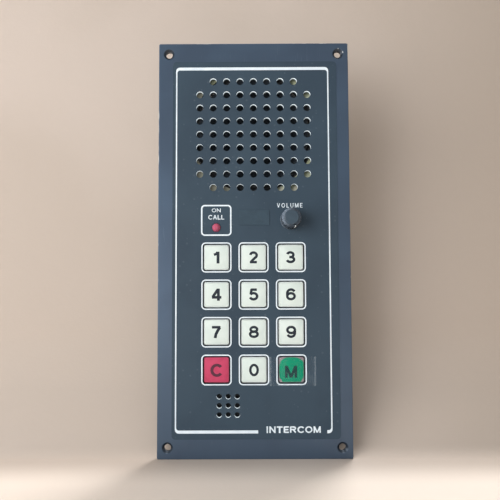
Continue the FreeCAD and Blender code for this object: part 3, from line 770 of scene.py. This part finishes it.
# two colours, roughness, scales of grain and patches, relief in mm
plainLooks = {
    "label_foil": plainLook((57, 73, 84), (53, 68, 79), (0.44, 0.52), 900, 200, 0.02, specular=0.2),
    "print_white": plainLook((226, 235, 240), (216, 226, 232), (0.48, 0.58), 2200, 160, 0.01),
    "print_dark": plainLook((34, 41, 50), (29, 36, 45), (0.45, 0.55), 2200, 300, 0.01, specular=0.25),
    "knob_cap_plastic": plainLook((54, 70, 82), (49, 64, 76), (0.32, 0.42), 1800, 200, 0.02),
    "gasket_rubber": plainLook((46, 46, 48), (36, 36, 38), (0.82, 0.94), 1500, 80, 0.15),
    "boot_rubber": plainLook((42, 42, 44), (35, 35, 37), (0.60, 0.74), 1100, 120, 0.04),
    "black_plastic": plainLook((38, 38, 40), (32, 32, 35), (0.38, 0.50), 1400, 120, 0.02),
    "switch_plastic": plainLook((54, 55, 59), (46, 47, 51), (0.44, 0.56), 1400, 120, 0.02),
    "plated_steel": plainLook((194, 192, 184), (172, 168, 158), (0.26, 0.38), 900, 150, 0.02, 1.0),
    "zinc_steel": plainLook((198, 200, 202), (170, 174, 180), (0.28, 0.42), 900, 220, 0.02, 1.0),
    "shaft_metal": plainLook(
        (204, 203, 198), (188, 186, 180), (0.24, 0.34), 600, 200, 0.02, metal=1.0, stretch=(0.2, 6.0, 0.2)),
    "brass_turned": plainLook(
        (208, 180, 116), (186, 152, 88), (0.26, 0.38), 600, 200, 0.02, metal=1.0, stretch=(0.2, 6.0, 0.2)),
    "copper_wire": plainLook(
        (204, 134, 92), (176, 98, 62), (0.30, 0.42), 500, 100, 0.08, metal=0.9, stretch=(0.1, 8.0, 0.1)),
    "ferrite": plainLook((62, 62, 65), (50, 50, 53), (0.55, 0.72), 1300, 70, 0.10),
    "phenolic_strip": plainLook(
        (146, 102, 62), (122, 82, 48), (0.46, 0.60), 500, 120, 0.03, stretch=(8.0, 1.0, 1.0)),
    "red_insulation": plainLook((182, 46, 44), (164, 38, 38), (0.34, 0.46), 900, 120, 0.02),
    "grey_insulation": plainLook((128, 130, 133), (112, 114, 118), (0.38, 0.50), 900, 120, 0.02),
    "capsule_aluminium": plainLook((206, 206, 208), (190, 191, 194), (0.26, 0.38), 900, 150, 0.02, 1.0),
    "pillar_nickel": plainLook(
        (202, 197, 188), (184, 177, 166), (0.24, 0.36), 700, 200, 0.02, metal=1.0, stretch=(0.3, 5.0, 0.3)),
    "terminal_plastic": plainLook((64, 120, 82), (56, 108, 74), (0.38, 0.50), 1300, 90, 0.03),
    "coil_tape": plainLook(
        (212, 188, 84), (198, 170, 66), (0.24, 0.36), 420, 120, 0.06, stretch=(0.3, 1.0, 3.0)),
    "relay_plastic": plainLook((60, 82, 136), (52, 72, 122), (0.26, 0.36), 1100, 120, 0.02),
    "black_anodised": plainLook(
        (44, 44, 47), (36, 36, 40), (0.34, 0.46), 500, 90, 0.03, metal=0.6, stretch=(3.0, 0.2, 3.0)),
    "stamped_metal": plainLook((92, 94, 98), (78, 80, 84), (0.40, 0.52), 900, 150, 0.02, 0.8),
    "trimmer_plastic": plainLook((54, 104, 174), (46, 92, 158), (0.30, 0.40), 1300, 160, 0.02),
}

finishes = {name: end(begin(name, look)) for name, look in plainLooks.items()}
finishes.update({
    "panel_paint": panelPaint(),
    "overlay_foil": overlayFoil(),
    "key_white": keyPlastic("keyWhite", "white"),
    "key_red": keyPlastic("keyRed", "red"),
    "key_green": keyPlastic("keyGreen", "green"),
    "knob_plastic": knobPlastic(),
    "lamp_lens": lampLens(),
    "clear_tape": clearTape(),
    "yellow_zinc": yellowZinc(),
    "cone_paper": conePaper(),
    "surround_cloth": wovenCloth("surroundCloth"),
    "spider_cloth": wovenCloth("spiderCloth"),
    "board_laminate": boardLaminate(),
    "resistor_lacquer": resistorLacquer(),
    "chip_epoxy": chipEpoxy(),
    "core_steel": coreSteel(),
    "capacitor_sleeve": capacitorSleeve(),
})
filmFinish = {shades: legendFilm("legendFilm_" + shades, shades) for shades in ("white", "red", "green")}

for part in frame["record"]["subparts"]:
    nodes[part["node"]].material_slots[0].material = finishes[part["material_slot"]]
print("finishes given to", len(nodes), "solids")


# modelling helpers

def deselect():
    bpy.ops.object.select_all(action="DESELECT")


def only(piece):
    deselect()
    piece.select_set(True)
    bpy.context.view_layer.objects.active = piece


def leave():
    bpy.ops.object.mode_set(mode="OBJECT")


def editAll(piece):
    only(piece)
    bpy.ops.object.mode_set(mode="EDIT")
    bpy.ops.mesh.select_all(action="SELECT")


def pick(piece, kind, test):
    # selects the vertices or faces whose place passes the test, or the edges whose two ends pass it,
    # and leaves the piece in edit mode
    only(piece)
    bpy.ops.object.mode_set(mode="EDIT")
    bpy.ops.mesh.select_mode(type=kind)
    bpy.ops.mesh.select_all(action="DESELECT")
    leave()
    mesh = piece.data
    if kind == "VERT":
        for vertex in mesh.vertices:
            vertex.select = test(vertex.co)
    elif kind == "EDGE":
        for edge in mesh.edges:
            edge.select = all(test(mesh.vertices[end].co) for end in edge.vertices)
    else:
        for face in mesh.polygons:
            face.select = test(face.center)
    bpy.ops.object.mode_set(mode="EDIT")


def move(*way):
    bpy.ops.transform.translate(value=way)


def extrude(*way):
    bpy.ops.mesh.extrude_region_move(TRANSFORM_OT_translate={"value": way})


def bake(piece):
    only(piece)
    bpy.ops.object.transform_apply(location=True, rotation=True, scale=True)


def primitive(operator, spot, rotation=(0, 0, 0), scale=(1, 1, 1), **given):
    deselect()
    operator(location=spot, rotation=rotation, **given)
    piece = bpy.context.object
    piece.scale = scale
    bake(piece)
    return piece


def modify(piece, kind, **settings):
    only(piece)
    modifier = piece.modifiers.new(kind.lower(), kind)
    for key, value in settings.items():
        setattr(modifier, key, value)
    bpy.ops.object.modifier_apply(modifier=modifier.name)


def joined(pieces):
    only(pieces[0])
    for piece in pieces:
        piece.select_set(True)
    if len(pieces) > 1:
        bpy.ops.object.join()
    return pieces[0]


def done(piece, name, body, slotName, material=None, smooth=35):
    bake(piece)
    bpy.ops.object.shade_smooth_by_angle(angle=turn(smooth))
    piece.name = name
    piece.data.name = name
    piece.data.materials.clear()
    piece.data.materials.append(material or finishes[slotName])
    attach(piece, body)


def roundedSheet(x, z, width, height, corner, y):
    # a flat sheet with rounded corners that faces the user; left in edit mode, all selected
    sheet = primitive(bpy.ops.mesh.primitive_plane_add, (x, y, z), facing, (width, height, 1), size=1)
    editAll(sheet)
    bpy.ops.mesh.bevel(offset=corner, segments=5, affect="VERTICES")
    bpy.ops.mesh.select_mode(type="FACE")
    bpy.ops.mesh.select_all(action="SELECT")
    return sheet


def outlineOf(sheet, line):
    # leaves only a line of one width along the edge of a sheet
    bpy.ops.mesh.inset(thickness=line)
    bpy.ops.mesh.delete(type="FACE")
    leave()
    return sheet


def roundedFrame(x, z, width, height, corner, line, y):
    return outlineOf(roundedSheet(x, z, width, height, corner, y), line)


def thicken(piece, depth):
    # gives a sheet its thickness, towards the back, and turns its faces outwards
    editAll(piece)
    extrude(0, depth, 0)
    bpy.ops.mesh.select_all(action="SELECT")
    bpy.ops.mesh.normals_make_consistent(inside=False)
    leave()


inkThick = 0.03 * mm


def printLines(outlines, name):
    for outline in outlines:
        thicken(outline, inkThick)
    done(joined(outlines), name, "root", "print_white")


def insideFrame(spot, x, z, width, height, corner):
    # how deep a point lies inside a rounded outline
    overX = abs(spot.x - x) - (width / 2 - corner)
    overZ = abs(spot.z - z) - (height / 2 - corner)
    return corner - math.hypot(max(overX, 0), max(overZ, 0)) - min(max(overX, overZ), 0)


# printed frame lines on the foil

borderSize = {
    "left": -53.1 * mm, "right": 51.3 * mm, "half": 123.6 * mm, "corner": 2.6 * mm,
    "side": 0.85 * mm, "bar": 2.0 * mm, "gap": (2.1 * mm, 47.8 * mm),
}


def printedBorder():
    size = borderSize
    middle, width = (size["right"] + size["left"]) / 2, size["right"] - size["left"]
    outline = (middle, 0, width, 2 * size["half"], size["corner"])
    border = roundedFrame(*outline, size["side"], foilY - inkThick)
    for way in (-1, 1):  # the top and bottom bars are wider than the sides
        pick(border, "VERT", lambda spot: spot.z * way > 0 and insideFrame(spot, *outline) > size["side"] / 2)
        move(0, 0, way * (size["side"] - size["bar"]))
        leave()
    low, high = size["gap"]  # the bottom bar stops where the name stands
    for x in (low, high):
        editAll(border)
        bpy.ops.mesh.bisect(plane_co=(x, 0, 0), plane_no=(1, 0, 0))
        leave()
    pick(border, "FACE", lambda spot: low < spot.x < high and spot.z < 0)
    bpy.ops.mesh.delete(type="FACE")
    leave()
    printLines([border], "printedBorder")


ringSize = {"outer": 20.25 * mm, "line": 0.80 * mm, "corner": 2.8 * mm}


def keyRings():
    size = ringSize
    rings = []
    for name in keyNames:
        centre = boxCentre("key_%s_cap" % name)
        square = (centre.x, centre.z, size["outer"], size["outer"])
        rings.append(roundedFrame(*square, size["corner"], size["line"], foilY - inkThick))
    printLines(rings, "keyRings")


lampFrameSize = {
    "x": -25.6 * mm, "z": 18.1 * mm, "width": 20.6 * mm, "height": 21.0 * mm,
    "corner": 2.5 * mm, "line": 0.95 * mm,
}

printedBorder()
keyRings()
printLines([roundedFrame(**lampFrameSize, y=foilY - inkThick)], "lampFrame")
print("frame lines printed")


# lettering, drawn with strokes of one width. A letter's box is 0 to 1 each way between stroke centres;
# an arc is its centre, its two radii and the angles where it starts and stops

def arc(x, z, across, up, start, stop):
    steps = max(4, round(abs(stop - start) / 12))
    angles = [turn(start + (stop - start) * i / steps) for i in range(steps + 1)]
    return [(x + across * math.cos(angle), z + up * math.sin(angle)) for angle in angles]


letterStrokes = {
    "0": [arc(0.5, 0.5, 0.5, 0.5, 90, 450)],
    "1": [[(0.82, 0), (0.82, 1)], [(0.0, 0.74), (0.45, 0.80), (0.74, 0.96)]],
    "2": [arc(0.5, 0.71, 0.48, 0.29, 172, -30) + [(0.5, 0.3), (0.16, 0.06)], [(-0.06, 0), (1, 0)]],
    "3": [
        arc(0.48, 0.75, 0.43, 0.25, 165, -82), arc(0.5, 0.26, 0.5, 0.26, 82, -165),
        [(0.34, 0.515), (0.56, 0.515)]],
    "4": [[(0.66, 0.99), (0.0, 0.27)], [(-0.1, 0.24), (1.1, 0.24)], [(0.72, -0.08), (0.72, 1.06)]],
    "5": [[(0.12, 1), (0.94, 1)], [(0.2, 1.06), (0.08, 0.5)], arc(0.47, 0.32, 0.5, 0.32, 148, -160)],
    "6": [
        arc(0.5, 0.31, 0.5, 0.31, 90, 450),
        arc(0.52, 0.62, 0.52, 0.38, 28, 180) + [(0.0, 0.45), (0.0, 0.31)]],
    "7": [[(-0.06, 1), (1.06, 1)], [(0.96, 0.97), (0.68, 0.64), (0.46, 0.3), (0.36, -0.08)]],
    "8": [arc(0.5, 0.76, 0.43, 0.24, 90, 450), arc(0.5, 0.27, 0.5, 0.27, 90, 450)],
    "9": [
        arc(0.5, 0.69, 0.5, 0.31, 90, 450),
        arc(0.48, 0.38, 0.52, 0.38, 208, 360) + [(1.0, 0.55), (1.0, 0.69)]],
    "A": [[(0, -0.06), (0.47, 1.04)], [(1, -0.06), (0.53, 1.04)], [(0.2, 0.32), (0.8, 0.32)]],
    "C": [arc(0.5, 0.5, 0.5, 0.5, 38, 322)],
    "E": [[(0, -0.08), (0, 1.08)], [(0, 1), (1.06, 1)], [(0, 0.51), (0.94, 0.51)], [(0, 0), (1.06, 0)]],
    "I": [[(0.5, -0.08), (0.5, 1.08)]],
    "L": [[(0, -0.08), (0, 1.08)], [(0, 0), (1.06, 0)]],
    "M": [
        [(0, -0.08), (0, 1.08)], [(1, -0.08), (1, 1.08)],
        [(0.02, 1.04), (0.5, -0.04)], [(0.98, 1.04), (0.5, -0.04)]],
    "N": [[(0, -0.08), (0, 1.08)], [(1, -0.08), (1, 1.08)], [(0.02, 1.0), (0.98, 0.0)]],
    "O": [arc(0.5, 0.5, 0.5, 0.5, 90, 450)],
    "R": [
        [(0, -0.08), (0, 1.08)], [(0, 1), (0.55, 1)], arc(0.55, 0.755, 0.42, 0.245, 90, -90),
        [(0, 0.51), (0.55, 0.51)], [(0.5, 0.5), (1.0, -0.06)]],
    "T": [[(-0.05, 1), (1.05, 1)], [(0.5, -0.08), (0.5, 1)]],
    "U": [[(0, 1.08), (0, 0.34)] + arc(0.5, 0.34, 0.5, 0.34, 180, 360) + [(1, 1.08)]],
    "V": [[(0, 1.06), (0.48, -0.04)], [(1, 1.06), (0.52, -0.04)]],
}
letterWidth = {"I": 0.24, "L": 0.62, "E": 0.66, "T": 0.74, "M": 0.92, "O": 0.92, "C": 0.86}
usualWidth = 0.80


def letter(sign, x, z, width, height, stroke, y):
    # one sign centred on x, z, as a mesh of flattened strokes
    curve = bpy.data.curves.new("strokes", "CURVE")
    curve.dimensions = "3D"
    curve.bevel_depth = stroke / 2
    curve.bevel_resolution = 3
    curve.use_fill_caps = True
    for points in letterStrokes[sign]:
        closed = math.dist(points[0], points[-1]) < 1e-6
        points = points[:-1] if closed else points
        spline = curve.splines.new("POLY")
        spline.points.add(len(points) - 1)
        spline.use_cyclic_u = closed
        for point, (across, up) in zip(spline.points, points):
            point.co = ((across - 0.5) * (width - stroke), 0, (up - 0.5) * (height - stroke), 1)
    sketch = bpy.data.objects.new("strokes", curve)
    bpy.context.collection.objects.link(sketch)
    only(sketch)
    bpy.ops.object.convert(target="MESH")
    piece = bpy.context.object
    low, high = Vector(piece.bound_box[0]), Vector(piece.bound_box[6])
    wide = width / (high.x - low.x) if sign != "I" else 1.0
    tall = height / (high.z - low.z)
    piece.scale = (wide, 2 * inkThick / stroke, tall)
    piece.location = (x - wide * (low.x + high.x) / 2, y, z - tall * (low.z + high.z) / 2)
    bake(piece)
    return piece


def wordRow(text, left, right, z, height, stroke, y, spacing=0.17):
    # signs set side by side between left and right, on one line
    gap = spacing * height
    widths = [letterWidth.get(sign, usualWidth) * height for sign in text]
    squeeze = (right - left - gap * (len(text) - 1)) / sum(widths)
    letters = []
    for sign, width in zip(text, widths):
        letters.append(letter(sign, left + width * squeeze / 2, z, width * squeeze, height, stroke, y))
        left += width * squeeze + gap
    return letters


# left, right, middle height, letter height and stroke in mm, and the gaps as a share of the letter height
captionRows = {
    "ON": (-28.6, -22.6, 24.9, 2.6, 0.42, 0.17),
    "CALL": (-31.0, -20.2, 20.2, 3.1, 0.52, 0.17),
    "VOLUME": (15.5, 32.8, 28.1, 3.0, 0.44, 0.34),
    "INTERCOM": (7.5, 43.5, -121.2, 4.4, 0.95, 0.17),
}


def captions():
    letters = []
    for text, (*row, spacing) in captionRows.items():
        letters += wordRow(text, *(value * mm for value in row), foilY, spacing)
    done(joined(letters), "captions", "root", "print_white")


captions()


# each key: a film set in the cap's recess, and its sign printed on the film

filmSize = {"side": 15.36 * mm, "corner": 0.8 * mm, "thick": 0.18 * mm, "edge": 0.06 * mm}

# width, height and stroke of each sign, and its place across and up from the key's centre, in mm
signSize = {
    "1": (4.1, 8.15, 1.5, 0, 0), "2": (6.0, 8.15, 1.75, 0, 0), "3": (6.4, 8.15, 1.75, 0, 0),
    "4": (6.6, 8.15, 1.75, 0, 0), "5": (6.3, 8.15, 1.75, 0, 0), "6": (6.6, 8.15, 1.75, 0, 0),
    "7": (6.1, 8.15, 1.75, 0, 0), "8": (6.7, 8.15, 1.75, 0, 0), "9": (6.7, 8.15, 1.75, 0, 0),
    "c": (7.8, 8.7, 1.9, -0.2, -0.3), "0": (6.5, 8.3, 1.7, 0, -0.2), "m": (8.2, 8.2, 1.85, -0.3, -1.4),
}
signInk = {
    "c": {"colour": rgb(92, 44, 60), "shade": rgb(82, 42, 56)},
    "m": {"colour": rgb(8, 56, 54), "shade": rgb(6, 50, 48)},
}
inkFinish = {}
for name, ink in signInk.items():
    inkFinish[name] = end(begin("signInk_" + name, {**plainLooks["print_dark"], **ink}))


def keyLegend(name):
    size = filmSize
    node = "key_%s_cap" % name
    centre = boxCentre(node)
    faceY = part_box(node)[0].y
    shades = {"c": "red", "m": "green"}.get(name, "white")
    film = roundedSheet(centre.x, centre.z, size["side"], size["side"], size["corner"], faceY)
    leave()
    thicken(film, size["thick"])
    modify(film, "BEVEL", width=size["edge"], segments=2, limit_method="ANGLE", angle_limit=turn(60))
    done(film, "keyFilm_" + name, "key_" + name, "key_" + shades, filmFinish[shades])
    width, height, stroke, across, up = (value * mm for value in signSize[name])
    sign = letter(name.upper(), centre.x + across, centre.z + up, width, height, stroke, faceY)
    done(sign, "keySign_" + name, "key_" + name, "print_dark", inkFinish.get(name))


for name in keyNames:
    keyLegend(name)
print("keys lettered")


# a strip of clear tape over the last key

tapeSize = {
    "low": -92.8 * mm, "high": -73.3 * mm, "lift": 0.06 * mm, "thick": 0.04 * mm, "cells": (62, 40),
    "sag": 0.30 * mm, "sagHalf": 8.4 * mm, "crease": 0.07 * mm, "creaseWide": 5 * mm,
}


def tapeStrip():
    size = tapeSize
    left, right = tapeLook["ends"]
    low, high = size["low"], size["high"]
    spot = ((left + right) / 2, foilY - size["lift"], (low + high) / 2)
    across, up = size["cells"]
    strip = primitive(
        bpy.ops.mesh.primitive_grid_add, spot, facing, (right - left, high - low, 1), size=1,
        x_subdivisions=across, y_subdivisions=up)
    key = boxCentre("key_m_cap")
    pick(strip, "VERT", lambda p: max(abs(p.x - key.x), abs(p.z - key.z)) < size["sagHalf"])
    move(0, size["sag"], 0)
    leave()
    clouds = bpy.data.textures.new("tapeCreases", "CLOUDS")
    clouds.noise_scale = size["creaseWide"]
    modify(strip, "SMOOTH", factor=0.5, iterations=3)
    modify(strip, "DISPLACE", texture=clouds, strength=size["crease"], mid_level=0.0, direction="NORMAL",
           texture_coords="LOCAL")
    modify(strip, "SOLIDIFY", thickness=size["thick"], offset=1.0)
    done(strip, "tapeStrip", "root", "clear_tape", smooth=80)


# the knob's pointer: a line of white paint down one rib, over the top edge

pointerSize = {
    "angle": -67.5, "width": 0.8 * mm, "long": 9.5 * mm, "thick": 0.3 * mm, "proud": 0.04 * mm,
    "ribRadius": 6.45 * mm, "edge": 0.62 * mm, "over": 0.9 * mm,
}


def knobPointer():
    size = pointerSize
    centre = boxCentre("knob_body")
    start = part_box("knob_body")[0].y + size["edge"]
    rise = size["ribRadius"] + size["proud"] - size["thick"] / 2
    spot = (centre.x, start + size["long"] / 2, centre.z + rise)
    scale = (size["width"], size["long"], size["thick"])
    line = primitive(bpy.ops.mesh.primitive_cube_add, spot, scale=scale, size=1)
    pick(line, "FACE", lambda p: p.y < start + 0.1 * mm)  # runs on over the knob's bevelled top edge
    extrude(0, -size["edge"], -size["edge"])
    extrude(0, 0, -size["over"])
    leave()
    turned = Matrix.Rotation(turn(90 - size["angle"]), 4, "Y")
    line.matrix_world = Matrix.Translation(centre) @ turned @ Matrix.Translation(-centre)
    done(line, "knobPointer", "volume", "print_white")


tapeStrip()
knobPointer()
print("tape and pointer made")


# small soft pieces behind the sound holes

beadSize = {"inner": 37.25 * mm, "outer": 38.24 * mm, "front": 1.5 * mm, "back": 2.0 * mm, "round": 0.15 * mm}
feltSize = {"radius": 4.8 * mm, "front": 2.15 * mm, "back": 2.45 * mm}


def disc(x, z, radius, front, back, sides=96):
    # a round plate that faces the user
    return primitive(
        bpy.ops.mesh.primitive_cylinder_add, (x, (front + back) / 2, z), facing,
        vertices=sides, radius=radius, depth=back - front)


def coneBead():
    # a bead of black glue where the cone's rim meets the surround
    size = beadSize
    centre = boxCentre("speaker_cone")
    bead = disc(centre.x, centre.z, size["outer"], size["front"], size["back"])
    pick(bead, "FACE", lambda spot: (spot.xz - centre.xz).length < mm)
    bpy.ops.mesh.inset(thickness=size["outer"] - size["inner"])
    bpy.ops.mesh.bridge_edge_loops()
    leave()
    modify(bead, "BEVEL", width=size["round"], segments=2, limit_method="ANGLE", angle_limit=turn(50))
    done(bead, "coneGlueBead", "speaker_cone", "boot_rubber")


def microphoneFelt():
    centre = boxCentre("microphone_capsule")
    done(disc(centre.x, centre.z, **feltSize), "microphoneFelt", "root", "gasket_rubber")


coneBead()
microphoneFelt()


# printed outlines, numbers and soldering on the main board

boardPlaces = {
    "chips": [(17 * mm, z * mm) for z in (14, 1, -12)],
    "trimmers": [(37 * mm, z * mm) for z in (10, -2)],
    "resistors": [((left + 5 * i) * mm, z * mm) for left, z in ((-39, -14), (-40, -66.5)) for i in range(8)],
    "leads": [(-4.3 * mm, 22 * mm), (1.7 * mm, 22 * mm), (-38.7 * mm, -79.5 * mm)],
}
boardPrint = {
    "line": 0.28 * mm, "corner": 0.4 * mm, "margin": 0.8 * mm, "legSpan": 5 * mm,
    "halves": {
        "chips": (10.8 * mm, 4.5 * mm), "trimmers": (4.2 * mm, 4.2 * mm),
        "resistors": (1.7 * mm, 3.7 * mm),
    },
    "nodes": ("transformer_core", "call_relay", "heat_sink", "terminal_block"),
    "numberHigh": 1.9 * mm, "numberStroke": 0.3 * mm, "numberWide": (1.3 * mm, 2.9 * mm),
    "numberRise": 3.1 * mm, "terminals": 12, "terminalStep": 5 * mm,
    "joint": 0.95 * mm, "leadJoint": 1.5 * mm, "padThick": 0.08 * mm, "padRim": 0.2,
    "climb": ((0.22, 0.66), (0.36, 0.70)),
}


def circleLine(x, z, radius, line, y):
    sheet = primitive(
        bpy.ops.mesh.primitive_circle_add, (x, y, z), facing, vertices=56, radius=radius, fill_type="NGON")
    editAll(sheet)
    return outlineOf(sheet, line)


def boardOutlines():
    size = boardPrint
    margin, line = size["margin"], size["line"]
    boxes = []
    for node in size["nodes"]:
        centre, half = boxCentre(node), boxHalf(node)
        boxes.append((centre.x, centre.z, half.x + margin, half.z + margin))
    for kind, half in size["halves"].items():
        boxes += [(*spot, *half) for spot in boardPlaces[kind]]
    outlines = []
    for x, z, halfX, halfZ in boxes:
        outlines.append(roundedFrame(x, z, 2 * halfX, 2 * halfZ, size["corner"], line, boardY))
    for x, z, radius, tall in capacitorSpots:
        outlines.append(circleLine(x, z, radius + margin, line, boardY))
    printLines(outlines, "boardOutlines")


def terminalNumbers():
    # drawn facing the front, then turned about the upright to face the rear
    size = boardPrint
    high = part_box("terminal_block")[1]
    signs = []
    for index in range(size["terminals"]):
        text = str(index + 1)
        half = size["numberWide"][len(text) - 1] / 2
        middle = size["terminalStep"] * (index + 0.5) - high.x
        row = (text, middle - half, middle + half, high.z + size["numberRise"])
        signs += wordRow(*row, size["numberHigh"], size["numberStroke"], -boardY)
    numbers = joined(signs)
    numbers.rotation_euler = (0, 0, turn(180))
    done(numbers, "terminalNumbers", "root", "print_white")


def solderJoint(radius):
    # a tinned pad, with solder that climbs the wire
    size = boardPrint
    pad = disc(0, 0, radius, 0, size["padThick"], 16)
    pick(pad, "FACE", lambda spot: spot.y > 0.9 * size["padThick"])
    bpy.ops.mesh.inset(thickness=radius * size["padRim"])
    for rise, squeeze in size["climb"]:
        extrude(0, radius * rise, 0)
        bpy.ops.transform.resize(value=(squeeze, 1, squeeze), center_override=(0, 0, 0))
    leave()
    return pad


def copied(piece, spots, y):
    copies = []
    for x, z in spots:
        copy = piece.copy()
        copy.data = piece.data.copy()
        copy.location = (x, y, z)
        bpy.context.collection.objects.link(copy)
        copies.append(copy)
    bpy.data.objects.remove(piece)
    return joined(copies)


def boardSolder():
    size = boardPrint
    legs = [(x, z + way * size["legSpan"]) for x, z in boardPlaces["resistors"] for way in (-1, 1)]
    small = copied(solderJoint(size["joint"]), legs, boardY)
    large = copied(solderJoint(size["leadJoint"]), boardPlaces["leads"], boardY)
    done(joined([small, large]), "boardSolder", "root", "plated_steel", smooth=60)


crossSize = {
    "angles": (25, 115), "short": 2.0 * mm, "sunk": 0.3 * mm,
    "thick": 0.12 * mm, "wide": 0.34 * mm, "edge": 0.05 * mm,
}


def ventCrosses():
    # the scored cross on the rear end of each capacitor
    size = crossSize
    bars = []
    for x, z, radius, tall in capacitorSpots:
        spot = (x, boardY + tall - size["sunk"], z)
        scale = (2 * (radius - size["short"]), size["thick"], size["wide"])
        for angle in size["angles"]:
            bar = primitive(bpy.ops.mesh.primitive_cube_add, spot, (0, turn(angle), 0), scale, size=1)
            modify(bar, "BEVEL", width=size["edge"], segments=2)
            bars.append(bar)
    done(joined(bars), "ventCrosses", "root", "capacitor_sleeve", finishes["stamped_metal"])


boardOutlines()
terminalNumbers()
boardSolder()
ventCrosses()
print("board printed and soldered")


# the room: a sheet of pale paper that sweeps up behind, and soft light

paperLook = {
    "colour": rgb(195, 180, 168), "shade": rgb(187, 172, 159), "rough": (0.8, 0.9),
    "grain": 300.0, "patch": 4.0, "relief": 0.1 * mm,
    # painted light in front and painted shade to the right
    "near": rgb(238, 223, 209), "nearSpan": (-0.05, -0.004),
    "far": rgb(174, 159, 145), "farSpan": (0.02, 0.24),
}


def paperFinish():
    # painted light makes it lighter in front, and painted shade darker to the right; seen from behind, it is
    # clear
    look = paperLook
    finish = begin("backdropPaper", look)
    x, y, z = split(spotOf())
    tint(finish, mapped(x, *look["farSpan"]), look["far"])
    tint(finish, mapped(y, *look["nearSpan"], 1.0, 0.0), look["near"])
    material = end(finish)
    behind = place("NewGeometry").outputs["Backfacing"]
    clear = place("BsdfTransparent").outputs[0]
    blend = place("MixShader", {0: behind, 1: finish["shader"].outputs[0], 2: clear}).outputs[0]
    give(material.node_tree.nodes["Material Output"].inputs["Surface"], blend)
    return material


roomSize = {
    "foot": 0.005, "bend": (0.046, 0.056), "lean": 7.0, "tall": 0.8, "half": 1.6, "deep": 1.6,
    "footRound": 0.008, "bendRound": 0.022, "under": 0.06, "drop": 0.2 * mm,
}


def flatSheet(front, back, high):
    scale = (2 * roomSize["half"], back - front, 1)
    return primitive(bpy.ops.mesh.primitive_plane_add, (0, (front + back) / 2, high), scale=scale, size=1)


def addRoom():
    # a sheet of paper: flat in front, then up behind the panel, steeply at first and nearly upright above.
    # A second sheet, a little lower, carries the floor on behind it
    size = roomSize
    floor, foot, deep = cadLow.z, size["foot"], size["deep"]
    bendY, bendHigh = size["bend"]
    lean = turn(size["lean"])
    paper = flatSheet(-deep, foot, floor)
    pick(paper, "EDGE", lambda spot: spot.y > foot - mm)
    extrude(0, bendY - foot, bendHigh)
    extrude(0, size["tall"] * math.sin(lean), size["tall"] * math.cos(lean))
    leave()
    for y, high, reach in ((foot, 0, size["footRound"]), (bendY, bendHigh, size["bendRound"])):
        pick(paper, "EDGE", lambda spot: abs(spot.y - y) < mm and abs(spot.z - floor - high) < mm)
        bpy.ops.mesh.bevel(offset=reach, segments=16, affect="EDGES")
        leave()
    bpy.ops.object.shade_smooth()
    behind = flatSheet(foot - size["under"], deep, floor - size["drop"])
    finish = paperFinish()
    for sheet, name in ((paper, "backdropPaper"), (behind, "floorBehind")):
        sheet.name = name
        sheet.data.materials.append(finish)
        sheet.visible_shadow = False


# place, size, power and colour of each lamp; all of them point at the part
lampLooks = {
    "keyLamp": ((-1.15, -0.95, 0.20), 1.3, 19.4, (0.97, 0.99, 1.0)),
    "sideLamp": ((-0.54, -1.10, -0.03), 0.56, 2.9, (0.80, 0.90, 1.0)),
    "topLamp": ((0.0, -0.5, 1.6), 1.0, 6.0, (1.0, 1.0, 1.0)),
    "rearLamp": ((0.6, 1.1, 0.9), 0.9, 24.0, (1.0, 1.0, 1.0)),
}


def addLamp(name, spot, size, power, shade):
    data = bpy.data.lights.new(name, "AREA")
    data.shape = "DISK"
    data.size = size
    data.energy = power
    data.color = shade
    lamp = bpy.data.objects.new(name, data)
    lamp.location = spot
    lamp.rotation_euler = (-Vector(spot)).to_track_quat("-Z", "Y").to_euler()
    bpy.context.collection.objects.link(lamp)


worldLook = {"light": (0.90, 0.95, 1.0, 1.0), "power": 0.33, "sky": rgb(196, 201, 206)}


def addWorld():
    # a soft light all round, with a pale sky where it is seen
    world = bpy.data.worlds.new("softRoom")
    world.use_nodes = True
    world.node_tree.nodes.clear()
    openTree(world.node_tree)
    path = place("LightPath").outputs
    seen = most(path["Is Camera Ray"], path["Is Glossy Ray"], path["Is Transmission Ray"])
    light = place("Background", {"Color": worldLook["light"], "Strength": worldLook["power"]}).outputs[0]
    sky = place("Background", {"Color": worldLook["sky"], "Strength": 1.0}).outputs[0]
    place("OutputWorld", {"Surface": place("MixShader", {0: seen, 1: light, 2: sky}).outputs[0]})
    bpy.context.scene.world = world


addRoom()
addWorld()
for name, look in lampLooks.items():
    addLamp(name, *look)
bpy.context.scene.view_settings.view_transform = "Standard"
print("room lit")
